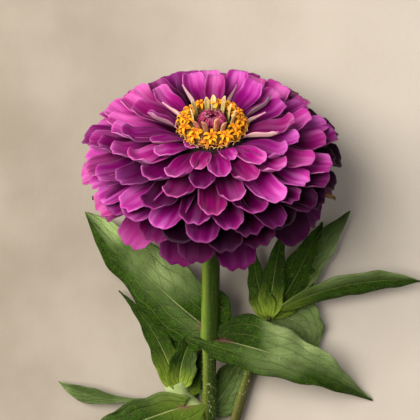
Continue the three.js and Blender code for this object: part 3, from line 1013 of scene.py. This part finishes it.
@dataclass
class DiscEye:
    """The unopened middle of the disc: a low dome of closed buds round a dark dimple."""

    radius: float = 6.2
    height: float = 6.6
    dimple: float = 2.4
    buds: int = 96

    def build(self, dome_skin: bpy.types.Material, bud_skin: bpy.types.Material) -> None:
        """Build the dome and its buds.

        Args:
            dome_skin: The dome's material.
            bud_skin: The buds' material.
        """
        dome = Piece("eye_dome")
        top = self.height
        dome.turned([(0, DISC_FLOOR), (self.radius, DISC_FLOOR), (self.radius, top - 4.4),
                     (self.radius * 0.9, top - 3.0), (self.radius * 0.5, top - 2.8),
                     (0, top - self.dimple - 2.6)], 32, BLOOM, {})
        dome.finish(Node.EYE, Slot.EYE, [dome_skin])
        buds = Piece("eye_buds")
        for k in range(self.buds):
            share = math.sqrt((k + 9.0) / (self.buds + 9))
            level = top - 3.0 - self.dimple * (1 - smooth(share, 0.28, 0.6))
            level += 0.5 * smooth(share, 0.6, 1.0) + 0.35 * draw(k, 35)
            lean = -math.radians(34 + 20 * share + 8 * draw(k, 31))
            stand = about_z(k * GOLDEN_ANGLE) @ Matrix.Translation(
                (self.radius * share, 0, level)) @ about_y(lean)
            tall = 1.1 + 0.6 * share + 0.2 * draw(k, 32)
            buds.bead((7, 7), self.bud_width, (0.5, 0.42, tall), BLOOM @ stand,
                      {Mark.TONE: draw(k, 33), Mark.AGE: 0.5 + 0.5 * draw(k, 34)})
        buds.finish(Node.EYE, Slot.EYE, [bud_skin])

    @staticmethod
    def bud_width(along: float) -> float:
        """Return a bud's width, as a share, at a share of its height."""
        return math.sin(math.pi * min(along * 0.9 + 0.12, 1.0)) ** 0.6


@dataclass
class DiscBracts:
    """Upright papery bracts between the eye and the open florets, folded like gutters."""

    count: int = 13
    radius: float = 7.3
    height: float = 9.6
    width: float = 2.0
    thickness: float = 0.18

    def build(self, skin: bpy.types.Material) -> bpy.types.Object:
        """Build the ring of bracts.

        Args:
            skin: The bracts' material.

        Returns:
            The finished object.
        """
        piece = Piece("disc_bracts_papery")
        for k in range(self.count):
            azimuth = 2 * math.pi * (k + 0.28 * draw(k, 41)) / self.count
            front = smooth(-math.sin(azimuth), 0.1, 0.7)
            tall = self.height * (0.92 + 0.16 * draw(k, 42)) * (1 + 0.1 * front)
            lean = math.radians(8 + 7 * draw(k, 43))
            radius = self.radius + 0.4 * draw(k, 44)
            stand = BLOOM @ about_z(azimuth) @ Matrix.Translation((radius, 0, DISC_FLOOR)) @ \
                about_y(lean) @ about_z(0.35 * draw(k, 45))

            def place(share: float, across: float) -> Vector:
                """Return the bract's point: a gutter with a toothed, pinched tip.

                Args:
                    share: How far along it, from 0 to 1.
                    across: How far across it, from -1 to 1.

                Returns:
                    The point.
                """
                pinch = mix(1, 0.55, smooth(share, 0.88, 1.0))
                wide = 0.5 * self.width * (1 + 0.25 * front) * (0.8 + 0.3 * share) * pinch
                fold = 0.55 * across * across * wide - 0.8 * share * share
                tooth = 0.5 * smooth(share, 0.85, 1) * (1 - across * across)
                return stand @ Vector((-fold, across * wide, (tall - DISC_FLOOR) * share + tooth))

            blush = min(max(0.85 * front + 0.25 * draw(k, 47), 0.0), 1.0)
            piece.sheet((4, 10), place, {Mark.TONE: draw(k, 46), Mark.AGE: blush})
        return piece.finish(Node.BRACTS, Slot.BRACT, [skin], self.thickness)


@dataclass
class DiscFlorets:
    """The open yellow florets round the disc: a tube each, five curled lobes and a dark throat.

    A ring is a count, a radius, the height of its florets' mouths and how far they lean out, in
    degrees. The bed that they stand in is a profile of radius and level pairs.
    """

    rings: tuple[tuple[int, float, float, float], ...] = (
        (10, 9.6, 4.3, 6.0), (12, 10.4, 3.4, 20.0), (12, 10.9, 2.0, 38.0), (12, 11.3, 0.6, 58.0))
    bed: tuple[tuple[float, float], ...] = (
        (8.1, DISC_FLOOR), (10.9, DISC_FLOOR), (11.9, 0.8), (11.5, 2.4), (8.1, 3.4),
        (8.1, DISC_FLOOR))
    tube_radii: tuple[float, float] = (0.5, 0.95)
    lobe_count: int = 5
    lobe_length: float = 2.7
    lobe_thickness: float = 0.3

    def floret(self, tubes: Piece, lobes: Piece, stand: Matrix, tall: float, browning: float,
               tag: float) -> None:
        """Add one floret.

        Args:
            tubes: The piece that gathers the tubes and throats.
            lobes: The piece that gathers the lobes.
            stand: Its frame, with its length along Z.
            tall: How high its mouth is.
            browning: How far it has turned from yellow to brown, from 0 to 1.
            tag: Tells its draws apart.
        """
        foot, mouth = stand @ Vector((0, 0, -1.5)), stand @ Vector((0, 0, tall))
        route = Route([foot.lerp(mouth, i / 4) for i in range(5)])
        tubes.tube((8, 5), route, lambda u, _: mix(*self.tube_radii, smooth(u, 0.3, 1)),
                   {Mark.TONE: draw(tag, 51)})
        tubes.bead((6, 5), lambda u: math.sin(math.pi * min(u + 0.1, 1)) ** 0.7,
                   (0.34, 0.34, 0.8), stand @ Matrix.Translation((0, 0, tall - 0.5)),
                   {Mark.TONE: -1.0})
        for j in range(self.lobe_count):
            turn = stand @ about_z(2 * math.pi * j / self.lobe_count + 0.2 * draw(tag + j, 52))
            long = self.lobe_length * (1 + 0.14 * draw(tag + j, 53))
            long *= mix(1, 0.7, smooth(browning, 0.6, 1))
            droop = 1.5 + 0.8 * draw(tag + j, 54)

            def place(share: float, across: float) -> Vector:
                """Return the lobe's point: out from the mouth, curling back at the tip.

                Args:
                    share: How far along it, from 0 to 1.
                    across: How far across it, from -1 to 1.

                Returns:
                    The point.
                """
                wide = 0.56 * math.sin(math.pi * (0.22 + 0.72 * share)) ** 0.7 * across
                out = 0.55 + long * share * (1 - 0.12 * share)
                level = tall - 0.15 + 0.75 * math.sin(math.pi * 0.6 * share)
                level -= droop * share ** 3 - 0.25 * across * across
                return turn @ Vector((out, wide, level))

            lobes.sheet((3, 6), place, {Mark.TONE: draw(tag + j, 55), Mark.AGE: browning})

    def build(self, tube_skin: bpy.types.Material, lobe_skin: bpy.types.Material,
              bed_skin: bpy.types.Material) -> None:
        """Build the bed and the florets on it.

        Args:
            tube_skin: The tubes' material.
            lobe_skin: The lobes' material.
            bed_skin: The bed's material.
        """
        bed = Piece("floret_bed")
        bed.turned(self.bed, 40, BLOOM, {})
        bed.finish(Node.FLORETS, Slot.FLORET, [bed_skin])
        tubes, lobes = Piece("floret_tubes"), Piece("floret_lobes")
        for count, radius, length, lean in self.rings:
            for k in range(count):
                azimuth = 2 * math.pi * (k + 0.2 * draw(k, 13)) / count + radius
                tilt = math.radians(lean + 4 * draw(k, 12))
                stand = about_z(azimuth) @ Matrix.Translation((radius, 0, 0.9)) @ about_y(tilt) \
                    @ about_z(k)
                front = smooth(-math.sin(azimuth), 0.1, 0.9)
                tall = length * (1 - 0.3 * front) + 0.5 * draw(k, radius)
                # painted shade: the front florets of the outer rings are browned further than their
                # age
                browning = smooth(lean, 20, 70) * (0.8 + 0.2 * draw(k, 14))
                browning = min(browning + 0.9 * front * smooth(lean, 30, 50), 1)
                self.floret(tubes, lobes, BLOOM @ stand, tall, browning, 100 * radius + 7 * k)
        tubes.finish(Node.FLORETS, Slot.FLORET, [tube_skin])
        lobes.finish(Node.FLORETS, Slot.FLORET, [lobe_skin], self.lobe_thickness)


@dataclass
class RayStyles:
    """The thin forked styles at the feet of the youngest petals."""

    count: int = 30
    radius: float = 12.6

    def build(self, skin: bpy.types.Material) -> bpy.types.Object:
        """Build the forked styles in a ring round the disc.

        Args:
            skin: The styles' material.

        Returns:
            The finished object.
        """
        piece = Piece("ray_styles")
        for k in range(self.count):
            azimuth = 2 * math.pi * (k + 0.3 * draw(k, 61)) / self.count
            stand = BLOOM @ about_z(azimuth) @ Matrix.Translation(
                (self.radius + 0.4 * draw(k, 62), 0, -1.6)) @ about_y(math.radians(12))
            tall = 3.4 + 0.8 * draw(k, 63)
            for fork in (-1, 1):
                bend = [Vector((0, 0, 0)), Vector((0.2, 0, tall * 0.8)),
                        Vector((0.6, fork * 0.5, tall + 0.7)),
                        Vector((1.1 + 0.5 * draw(k, 64), fork * 1.3, tall + 0.3)),
                        Vector((1.3, fork * 1.9, tall - 0.5 + 0.5 * draw(k, 65)))]
                route = Route.bent([stand @ point for point in bend], 14)
                piece.tube((5, 9), route, lambda u, _: mix(0.24, 0.13, u), {Mark.TONE: draw(k, 66)})
        return piece.finish(Node.PETALS, Slot.PETAL, [skin])


@dataclass
class GreenCup:
    """The cup under the petals: rows of overlapping rounded scales with dark edges.

    The outline is the wall from the stem up, as radius and level pairs. A row is how far up the
    wall its scales start, and how many there are.
    """

    outline: tuple[tuple[float, float], ...] = (
        (4.2, -31.6), (7.0, -29.8), (9.1, -27.4), (10.0, -24.6), (11.3, -22.8), (11.9, -20.6))
    rows: tuple[tuple[float, int], ...] = ((0.02, 9), (0.24, 11), (0.46, 13), (0.7, 14))
    scale_thickness: float = 0.3

    def wall(self, share: float) -> tuple[float, float]:
        """Return the cup's radius and level at a share of the way up its wall.

        Args:
            share: How far up the wall, from 0 to 1.

        Returns:
            The radius and the level.
        """
        place = min(max(share, 0.0), 0.9999) * (len(self.outline) - 1)
        i = int(place)
        low, high = self.outline[i], self.outline[i + 1]
        return mix(low[0], high[0], place - i), mix(low[1], high[1], place - i)

    def build(self, cup_skin: bpy.types.Material, scale_skin: bpy.types.Material) -> None:
        """Build the wall of the cup and its scales.

        Args:
            cup_skin: The wall's material.
            scale_skin: The scales' material.
        """
        cup = Piece("cup_wall")
        cup.turned([(0, -31.6), *self.outline, (10.6, -20.6), (5.6, -29.2), (0, -29.8)], 48,
                   BLOOM, {})
        cup.finish(Node.GREENS, Slot.LEAF, [cup_skin])
        scales = Piece("cup_scales")
        for row, (start, count) in enumerate(self.rows):
            for k in range(count):
                tag = 40 * row + k
                azimuth = 2 * math.pi * (k + 0.5 * (row % 2) + 0.12 * draw(tag, 71)) / count
                self.scale(scales, azimuth, start, 1.32 * math.pi / count, tag)
        scales.finish(Node.GREENS, Slot.LEAF, [scale_skin], self.scale_thickness)

    def scale(self, piece: Piece, azimuth: float, start: float, spread: float, tag: int) -> None:
        """Add one rounded scale that lies on the wall and lifts a little at its edge.

        Args:
            piece: The piece that gathers the scales.
            azimuth: Where the scale is, round the bloom's axis.
            start: How far up the wall it starts.
            spread: Half the angle that it covers.
            tag: Tells its draws apart.
        """

        def place(share: float, across: float) -> Vector:
            """Return the scale's point.

            Args:
                share: How far along it, from 0 to 1.
                across: How far across it, from -1 to 1.

            Returns:
                The point.
            """
            rise = start + 0.36 * share * (1 - 0.16 * across * across * share)
            radius, level = self.wall(rise)
            wide = spread * math.sin(math.pi * mix(0.3, 0.86, share)) ** 0.6 * across
            lift = 0.25 + 0.55 * share - 0.25 * across * across
            angle = azimuth + wide
            here = Vector((math.cos(angle), math.sin(angle), 0)) * (radius + lift)
            here.z = level - 0.15 * lift
            return BLOOM @ here

        piece.sheet((6, 7), place, {Mark.TONE: draw(tag, 72)})


@dataclass
class MainStem:
    """The cut stem from the cup down to the cut, swollen at its nodes.

    It has one radius at the neck, at the upper swelling, below the upper node and at the end. The
    nodes are at a share of its length.
    """

    neck: float = 3.6
    swelling: float = 3.8
    middle: float = 3.4
    end: float = 2.3
    upper_node: float = 0.43
    lower_node: float = 0.63
    handles: tuple[tuple[float, float, float], ...] = ((-1.8, -103, 10), (-1.2, -177, 2.2))
    cells: tuple[int, int] = (28, 110)

    def route(self) -> Route:
        """Return the stem's middle line, from the cup to the cut."""
        top, below = BLOOM @ Vector((0, 0, -30.6)), BLOOM @ Vector((0, 0, -60.6))
        return Route.bent([top, below, *(Vector(handle) for handle in self.handles)])

    def radius(self, share: float, angle: float) -> float:
        """Return the stem's radius at a share of its length and an angle round it.

        Args:
            share: How far down the stem, from 0 to 1.
            angle: The angle round it.

        Returns:
            The radius.
        """
        upper = mix(self.neck, self.swelling, smooth(share, 0, 0.25))
        lower = mix(self.middle, self.end, share)
        plain = mix(upper, lower, smooth(share, self.upper_node - 0.04, self.upper_node + 0.08))
        for node in (self.upper_node, self.lower_node):
            plain += 0.45 * math.exp(-(((share - node) / 0.02) ** 2))
        return plain + 0.07 * math.cos(9 * angle)

    def build(self, skin: bpy.types.Material) -> bpy.types.Object:
        """Build the stem.

        Args:
            skin: The stem's material.

        Returns:
            The finished object.
        """
        piece = Piece("main_stem")
        piece.tube(self.cells, self.route(), self.radius, {})
        return piece.finish(Node.GREENS, Slot.LEAF, [skin])


@dataclass
class SideStem:
    """A thinner stem that leaves the main one at a node."""

    name: str
    knots: tuple[tuple[float, float, float], ...]
    base: float = 2.3
    tip: float = 1.9
    cells: tuple[int, int] = (20, 60)

    def route(self) -> Route:
        """Return the side stem's middle line."""
        return Route.through([Vector(knot) for knot in self.knots])

    def radius(self, share: float, angle: float) -> float:
        """Return its radius at a share of its length and an angle round it."""
        return mix(self.base, self.tip, share) + 0.05 * math.cos(7 * angle)

    def build(self, skin: bpy.types.Material) -> bpy.types.Object:
        """Build the side stem.

        Args:
            skin: The side stem's material.

        Returns:
            The finished object.
        """
        piece = Piece(self.name)
        piece.tube(self.cells, self.route(), self.radius, {})
        return piece.finish(Node.GREENS, Slot.LEAF, [skin])


@dataclass(frozen=True)
class Leaf:
    """One leaf: its midrib from root to tip, how its face looks, and its outline.

    The peak is where it is widest, a blunt of less than 1 makes it fuller, and the base is how
    wide it starts. The fold lifts both halves, the skew makes one wider, and the twist turns the
    blade. Edges roll the right and the left rim, and ears reach back past the root on the right
    and on the left. Young changes its colour. Pale sets how pale it is, partly its own colour and
    partly painted shade; halves paints light on one half, and foot and end paint shade at the root
    and the tip.
    """

    root: tuple[float, float, float]
    bend: tuple[float, float, float]
    tip: tuple[float, float, float]
    up: tuple[float, float, float]
    width: float
    peak: float = 0.33
    blunt: float = 0.9
    base: float = 0.5
    fold: float = 0.3
    skew: float = 0.0
    twist: float = 0.0
    edges: tuple[float, float] = (0.0, 0.0)
    ears: tuple[float, float] = (0.0, 0.0)
    young: float = 0.0
    pale: float = 0.0
    halves: float = 0.0
    foot: tuple[float, float] = (0.0, 0.0)
    end: float = 0.0

    def fullness(self, share: float) -> float:
        """Return the leaf's width, as a share of its full width.

        Args:
            share: How far along the leaf, from 0 to 1.

        Returns:
            The share.
        """
        phase = mix(0.14, 1, share) ** (math.log(0.5) / math.log(self.peak))
        body = math.sin(math.pi * min(phase, 1.0)) ** self.blunt
        lobe = mix(0.6, 1, math.sqrt(min(share / 0.09, 1)))
        return max(0.02, mix(self.base, 1, smooth(share, 0, 0.2)) * body * lobe)

    def shape(self, piece: Piece, n: int, thickness: float) -> None:
        """Add the leaf to a piece.

        Args:
            piece: The piece that gathers the leaves.
            n: Which leaf, for its draws.
            thickness: The blade's thickness.
        """
        handles = [Vector(self.root), Vector(self.bend), Vector(self.tip)]

        def place(share: float, side: float) -> Vector:
            """Return the blade's point, on the table or above it.

            Args:
                share: How far along the blade, from 0 to 1.
                side: How far across it, from -1 to 1.

            Returns:
                The point.
            """
            middle, ahead = bezier(handles, share)
            beside = Vector(self.up).cross(ahead).normalized()
            beside = Matrix.Rotation(self.twist * smooth(share, 0.1, 1), 3, ahead) @ beside
            # the outline, with shallow bays, and the rims rolled
            scale = min(self.width / 26, 1)
            bays = 1 + 0.07 * math.sin(2 * math.pi * 4.1 * share + 2.1 * n + 2 * side)
            across = 0.5 * side * self.width * self.fullness(share) * (1 + self.skew * side) * bays
            bend = self.edges[side > 0] * math.sin(math.pi * share) ** 0.7 / (0.275 * self.width)
            across, raised = rolled(across, 0.5 * abs(across / (side or 1)), bend)
            # slow waves, a fine frill at the edge, the fold and the bow of each half
            wave = math.sin(2 * math.pi * (2.3 * share + 0.5 * side) + 1.7 * n)
            ripple = 2.3 * scale * scale * side * side * wave * smooth(share, 0, 0.3)
            frill = 0.4 * scale * side ** 4 * math.sin(2 * math.pi * (7 * share + 0.3 * side) + n)
            lift = self.fold * abs(across) - 0.012 * across * across + ripple + frill + raised
            # grooves about 1.8 mm wide over the nerves, and swellings between the side veins
            for lane, depth in NERVES:
                groove = math.exp(-(((abs(side) - lane) * self.width / 2 / 0.9) ** 2))
                lift -= depth * scale * groove * smooth(share, 0.02, 0.15)
            quilt = math.sin(2 * math.pi * (SIDE_VEINS * share - VEIN_SLANT * abs(side)))
            lift += 0.2 * quilt * abs(side) * (1 - abs(side)) * 4 * scale
            # the lobes that reach back past the root, kept level
            lobe = 0.1 * self.width * side * side * (1 - smooth(share, 0, 0.4))
            ear = smooth(abs(side), 0, 0.35) * (1 - 0.55 * smooth(abs(side), 0.35, 1))
            lobe += self.ears[side > 0] * ear * (1 - smooth(share, 0, 0.35))
            level = Vector((ahead.x, ahead.y, 0)).normalized()
            here = middle + beside * across - level * lobe + ahead.cross(beside) * lift
            here.z = max(here.z, thickness / 2)
            return here

        def shade(share: float, side: float) -> dict[Mark, float]:
            """Return how pale the blade is there, with its painted light and shade.

            Args:
                share: How far along the blade, from 0 to 1.
                side: How far across it, from -1 to 1.

            Returns:
                The tone: 0 or less for deep green, and more for pale.
            """
            near = self.foot[side > 0] * (1 - smooth(share, 0.1, 0.34))
            far = self.end * smooth(share, 0.45, 0.6)
            return {Mark.TONE: self.pale + self.halves * side + near + far}

        piece.sheet((28, 44) if self.width > 17 else (16, 32), place, {Mark.AGE: self.young}, shade)


@dataclass
class Foliage:
    """The leaves that stand together at one place on the stem."""

    name: str
    leaves: tuple[Leaf, ...]
    first: int
    thickness: float = 0.4

    def build(self, faces: Sequence[bpy.types.Material]) -> bpy.types.Object:
        """Build the leaves as one piece.

        Args:
            faces: The upper face's material and the lower face's.

        Returns:
            The finished object.
        """
        piece = Piece(self.name)
        for k, leaf in enumerate(self.leaves):
            leaf.shape(piece, self.first + k, self.thickness)
        return piece.finish(Node.GREENS, Slot.LEAF, faces, self.thickness)


@dataclass
class Bristles:
    """Short pale hairs that stand off a stem."""

    name: str
    count: int
    start: float
    end: float
    length: float = 0.9

    def build(self, route: Route, radius: Callable[[float, float], float],
              skin: bpy.types.Material) -> bpy.types.Object:
        """Build the hairs.

        Args:
            route: The stem's middle line.
            radius: The stem's radius.
            skin: The hairs' material.

        Returns:
            The finished object.
        """
        piece = Piece(self.name)
        for k in range(self.count):
            share = mix(self.start, self.end, (k + 0.5 + 0.5 * draw(k, 81)) / self.count)
            angle = k * GOLDEN_ANGLE + draw(k, 82)
            middle, ahead, side, beside = route.at(share)
            outward = side * math.cos(angle) + beside * math.sin(angle)
            foot = middle + outward * (radius(share, angle) - 0.1)
            along = (outward + ahead * 0.35 * draw(k, 83)).normalized()
            turn = along.to_track_quat("Z", "Y").to_matrix().to_4x4()
            length = self.length * (1 + 0.4 * draw(k, 84))
            if foot.z + along.z * length > 0.05:
                piece.spike(0.07, length, Matrix.Translation(foot) @ turn, {})
        return piece.finish(Node.GREENS, Slot.LEAF, [skin])


@dataclass
class Studio:
    """The board, the soft lights and the camera that looks straight down.

    The camera hangs over the centre at its eye height, and sees a square of the field's width at
    the field's level.
    """

    eye_height: float = 658.0
    field: float = 166.7
    field_level: float = 58.0
    centre: tuple[float, float] = (-0.8, -33.0)
    board_half: float = 3.0
    room_colour: str = "#efe9e2"
    room_light: float = 0.19

    def board(self, skin: bpy.types.Material) -> None:
        """Lay the board that the flower lies on.

        Args:
            skin: The board's material.
        """
        mesh = bmesh.new()
        bmesh.ops.create_grid(mesh, x_segments=1, y_segments=1, size=self.board_half)
        data = bpy.data.meshes.new("board")
        mesh.to_mesh(data)
        mesh.free()
        data.materials.append(skin)
        board = bpy.data.objects.new("board", data)
        bpy.context.scene.collection.objects.link(board)

    def lamp(self, name: str, toward: Vector, size: float, power: float, colour: str) -> None:
        """Hang a square soft light that faces the bloom.

        Args:
            name: The light's name.
            toward: Where it hangs from the bloom, in metres.
            size: The side of its square.
            power: Its power in watts.
            colour: Its colour.
        """
        light = bpy.data.lights.new(name, "AREA")
        light.shape = "SQUARE"
        light.size = size
        light.energy = power
        light.color = linear(colour)[:3]
        lamp = bpy.data.objects.new(name, light)
        aim = PLACE @ Vector((0, -30, 20))
        lamp.location = aim + toward
        lamp.rotation_euler = toward.to_track_quat("Z", "Y").to_euler()
        bpy.context.scene.collection.objects.link(lamp)

    def camera(self) -> None:
        """Set the camera over the flower, looking straight down."""
        lens = bpy.data.cameras.new("camera")
        distance = self.eye_height - self.field_level
        lens.angle = 2 * math.atan(self.field / 2 / distance)
        lens.clip_start = 0.01
        camera = bpy.data.objects.new("camera", lens)
        camera.location = PLACE @ Vector((*self.centre, self.eye_height))
        bpy.context.scene.collection.objects.link(camera)
        bpy.context.scene.camera = camera

    def build(self, skin: bpy.types.Material) -> None:
        """Set up the board, the lights and the camera.

        Args:
            skin: The board's material.
        """
        self.board(skin)
        self.lamp("key", Vector((-0.9, 0.38, 1.5)), size=1.3, power=62.0, colour="#fffaf4")
        self.lamp("fill", Vector((0.45, 0.1, 0.5)), size=0.5, power=1.2, colour="#f4f4ff")
        world = bpy.data.worlds.new("room")
        world.use_nodes = True
        back = world.node_tree.nodes["Background"]
        back.inputs["Color"].default_value = linear(self.room_colour)
        back.inputs["Strength"].default_value = self.room_light
        bpy.context.scene.world = world
        bpy.context.scene.view_settings.view_transform = "Standard"
        self.camera()


UPPER_PAIR = (
    Leaf((-2, -83.6, 11.6), (-25, -66, 18), (-55, -34, 0.8), (-0.05, -0.2, 1), 30, blunt=0.7,
         base=1.1, fold=0.14, skew=-0.02, edges=(0.0, -1.1), ears=(6.0, 2.0), pale=0.15,
         halves=-1.3, foot=(-2.0, 0.2)),
    Leaf((3.6, -88.2, 14.8), (37.4, -94, 30), (69, -115.5, 0.2), (0.1, 0.2, 1), 24, peak=0.3,
         base=0.62, fold=0.2, skew=0.12, edges=(-1.3, -0.3), ears=(13.0, 4.0), pale=0.35,
         halves=0.75, foot=(-0.5, -2.6), end=-0.6),
)
LOWER_LEAVES = (
    Leaf((-11.6, -117, 10.6), (-33, -122.5, 17), (-59, -137, 0.2), (-0.1, 0.1, 1), 31, peak=0.48,
         blunt=0.6, base=0.75, fold=0.12, skew=0.42, ears=(1.0, 9.0), young=0.35, pale=-0.6,
         halves=-0.6),
    Leaf((-17, -112.6, 6.5), (-45, -119, 6), (-66.4, -107.4, 3), (0, 0.3, 1), 8, peak=0.78,
         blunt=1.4, base=0.3, twist=-0.9, pale=0.7),
    Leaf((0, -119, 5), (7, -111, 4), (16, -92, 2), (0.1, -0.1, 1), 18, blunt=0.7, fold=0.12,
         pale=0.1),
)
LEFT_SHOOT_LEAVES = (
    Leaf((-16, -108.6, 8.4), (-20.6, -86, 11), (-40.2, -68, 3), (0.15, -0.1, 1), 12, peak=0.28,
         blunt=1.1, base=0.7, fold=0.25, young=1, pale=-0.8),
    Leaf((-15, -108.4, 7.6), (-13, -96, 8), (-19, -80, 4), (0, -0.2, 1), 11, fold=0.25, base=0.6,
         young=1, pale=-0.8),
    Leaf((-14, -108.6, 9.2), (-14.6, -96, 13), (-4, -79, 6), (0.35, -0.2, 1), 13, fold=0.35,
         base=0.7, young=1, pale=-0.5, halves=-0.4),
    Leaf((-10.5, -113.6, 6), (-8, -104, 5.6), (-3, -92, 3.4), (0.5, -0.2, 0.9), 9, young=0.6,
         pale=-0.6),
)
RIGHT_SHOOT_LEAVES = (
    Leaf((25, -77.6, 8.8), (56, -60, 20), (89.4, -63.5, 8), (0.05, -0.5, 0.85), 12, peak=0.62,
         fold=0.25, base=0.35, edges=(-1.2, -0.4), young=0.4, pale=-0.5, halves=0.9),
    Leaf((25, -79, 6.4), (46, -78, 8), (39.6, -99, 1.5), (-0.1, 0.3, 1), 22, blunt=0.7, fold=0.15,
         pale=0.0),
    Leaf((24.4, -79, 9.4), (18.4, -66, 12), (17.4, -47, 6), (-0.2, -0.3, 1), 10.5, fold=0.2,
         base=0.6, young=1, pale=-0.7),
    Leaf((24.8, -78.6, 9.6), (25.6, -60, 13), (31.5, -39, 10), (-0.1, -0.3, 1), 10.5, fold=0.2,
         base=0.6, young=1, pale=-0.7),
    Leaf((25.4, -78.6, 7.6), (35, -66, 10), (47.5, -38.2, 5), (0.1, -0.3, 1), 17, peak=0.45,
         fold=0.2, base=0.3, young=0.5, pale=-0.9),
    Leaf((26.4, -78.4, 5.4), (40, -58, 5.5), (59.4, -33.4, 8), (-0.35, -0.1, 1), 13, peak=0.55,
         fold=0.2, base=0.3, young=0.2, pale=0.0, halves=-0.5),
)


def build_bloom() -> None:
    """Build the petals and everything on the disc."""
    # petal velvet: magenta above, streaked, and a paler dusty pink below; the light and rim colours
    # are partly painted highlight, and the claw colours are painted shade
    upper = PetalFace("zinnia_petal_velvet", "#86005c", "#ae0c86", "#dc76c4", "#e6a0cc",
                      "#200010")
    lower = PetalFace("zinnia_petal_underside", "#8f2f7c", "#ac5598", "#cf93bd", "#e6bcd6",
                      "#a8788a", "#d9b6a6")
    RayPetals().build([upper.material(), lower.material()])
    # dried petal: dull straw brown, still wine red where it starts
    dry = SoftTissue("withered_petal", "#5b2a34", "#7a5a34", "#4d3a1e", roughness=0.75,
                     speckle=1.43, sheen=0.0)
    WitheredSlips().build(dry.material())
    # receptacle flesh: nearly black as painted shade, because it lies in the shade between the
    # petals' claws
    flesh = SoftTissue("receptacle_flesh", "#2a1404", "#220810", "#180408", roughness=0.8,
                       sheen=0.0, glow=0.0)
    Receptacle().build(flesh.material())
    # closed buds: dull maroon with paler tips, on a darker dome painted as the shade between them
    dome = SoftTissue("eye_shade", "#6a1236", "#6a1236", "#3c0a1e")
    buds = SoftTissue("closed_disc_buds", "#7a1a40", "#ab3d6c", "#cf8a9c", sheen=0.0,
                      blush="#96204f")
    DiscEye().build(dome.material(), buds.material())
    # papery bract: matt straw yellow, thin enough to glow, with a pink blush on the front ones
    bract = SoftTissue("papery_bract", "#8f8a3a", "#c9b56c", "#d8bf8a", roughness=0.55,
                       speckle=1.11, sheen=0.0, glow=0.2, blush="#c27464")
    DiscBracts().build(bract.material())
    # floret velvet: warm yellow, orange at the foot, and brown on the florets that have faded
    # and, as painted shade, on the front ones
    lobes = SoftTissue("floret_velvet", "#d8740a", "#f7a50e", "#ffba20", roughness=0.55,
                       speckle=0.667, sheen=0.0, blush="#7c3a10")
    # floret tubes and the bed's scales: browner, so that the lobes stand out from them
    tubes = SoftTissue("floret_tube", "#6e3f12", "#b06c14", "#ee9a12")
    bed = SoftTissue("floret_bed_scales", "#3c2614", "#5b3a1a", "#7a4d1c")
    DiscFlorets().build(tubes.material(), lobes.material(), bed.material())
    # styles: thin amber threads
    RayStyles().build(SoftTissue("forked_styles", "#8a5a2a", "#c98f3c", "#e2b96a").material())


def build_greens() -> None:
    """Build the cup, the stems, the leaves and the hairs."""
    # cup scales: mid green and dull, each with a dark brown edge
    cup = SoftTissue("cup_flesh", "#5c7a30", "#587830", "#47611f")
    scales = SoftTissue("cup_scales_green", "#5f8136", "#6f9440", "#3b2a1c")
    GreenCup().build(cup.material(), scales.material())
    # stem skins: green turning olive on the main stem, brown to olive on the branch, and pale and
    # waxy on the shoot; the last colour of each is the painted shade of its side away from the
    # light
    stem_skin = StemSkin("green_stem_skin", "#72882e", "#585312", "#325002", "#1c2c00",
                         turn_from=0.4, turn_to=0.72)
    branch_skin = StemSkin("olive_branch_skin", "#6b5a2a", "#5d7428", "#4a4a1c", "#3a3a12",
                           turn_from=0.2, turn_to=0.8)
    shoot_skin = StemSkin("pale_shoot_skin", "#b9c39a", "#b4c389", "#93a566", "#8f9f62",
                          turn_from=0.2, turn_to=0.9)
    stem = MainStem()
    stem.build(stem_skin.material())
    branch = SideStem("right_branch", (
        (-1, -151, 4.2), (3.6, -140, 4.4), (10, -123.7, 4.6), (16, -103.3, 5.4),
        (24.1, -78.6, 7.6)))
    branch.build(branch_skin.material())
    shoot = SideStem("left_shoot", (
        (-1.2, -121, 5), (-8, -117.6, 5.4), (-13.6, -113.6, 6), (-15.8, -107.6, 6.4)),
        base=2.6, tip=5.2)
    shoot.build(shoot_skin.material())
    # leaf faces: deep green with sunken nerves above, and a paler grey-green with raised ones
    # below;
    # the third colour of each is the pale green of the painted highlight and the lit parts
    upper = LeafFace("zinnia_leaf_upper", "#0c2200", "#2c5000", "#9bb071", "#90a450")
    lower = LeafFace("zinnia_leaf_underside", "#56743c", "#6f8a52", "#869d6a", "#b3c48a",
                     raised=1.0)
    faces = [upper.material(), lower.material()]
    Foliage("upper_leaf_pair", UPPER_PAIR, 0).build(faces)
    Foliage("lower_leaves", LOWER_LEAVES, 2).build(faces)
    Foliage("left_shoot_leaves", LEFT_SHOOT_LEAVES, 5).build(faces)
    Foliage("right_shoot_leaves", RIGHT_SHOOT_LEAVES, 9).build(faces)
    # stem hairs: pale dry straw, dull, without a glow
    hair = SoftTissue("pale_stem_hair", "#b4b27c", "#cac898", "#d8d6b0", roughness=0.5,
                      speckle=1.11, sheen=0.0, glow=0.0).material()
    stem_hairs = Bristles("stem_hairs", 1100, start=0.46, end=0.99, length=0.75)
    stem_hairs.build(stem.route(), stem.radius, hair)
    branch_hairs = Bristles("branch_hairs", 260, start=0.05, end=0.95, length=0.7)
    branch_hairs.build(branch.route(), branch.radius, hair)


def main() -> None:
    """Build the flower and its studio."""
    logging.basicConfig(level=logging.INFO, format="%(name)s %(message)s")
    Studio().build(Tabletop().material())
    build_bloom()
    build_greens()


if __name__ == "__main__":
    main()
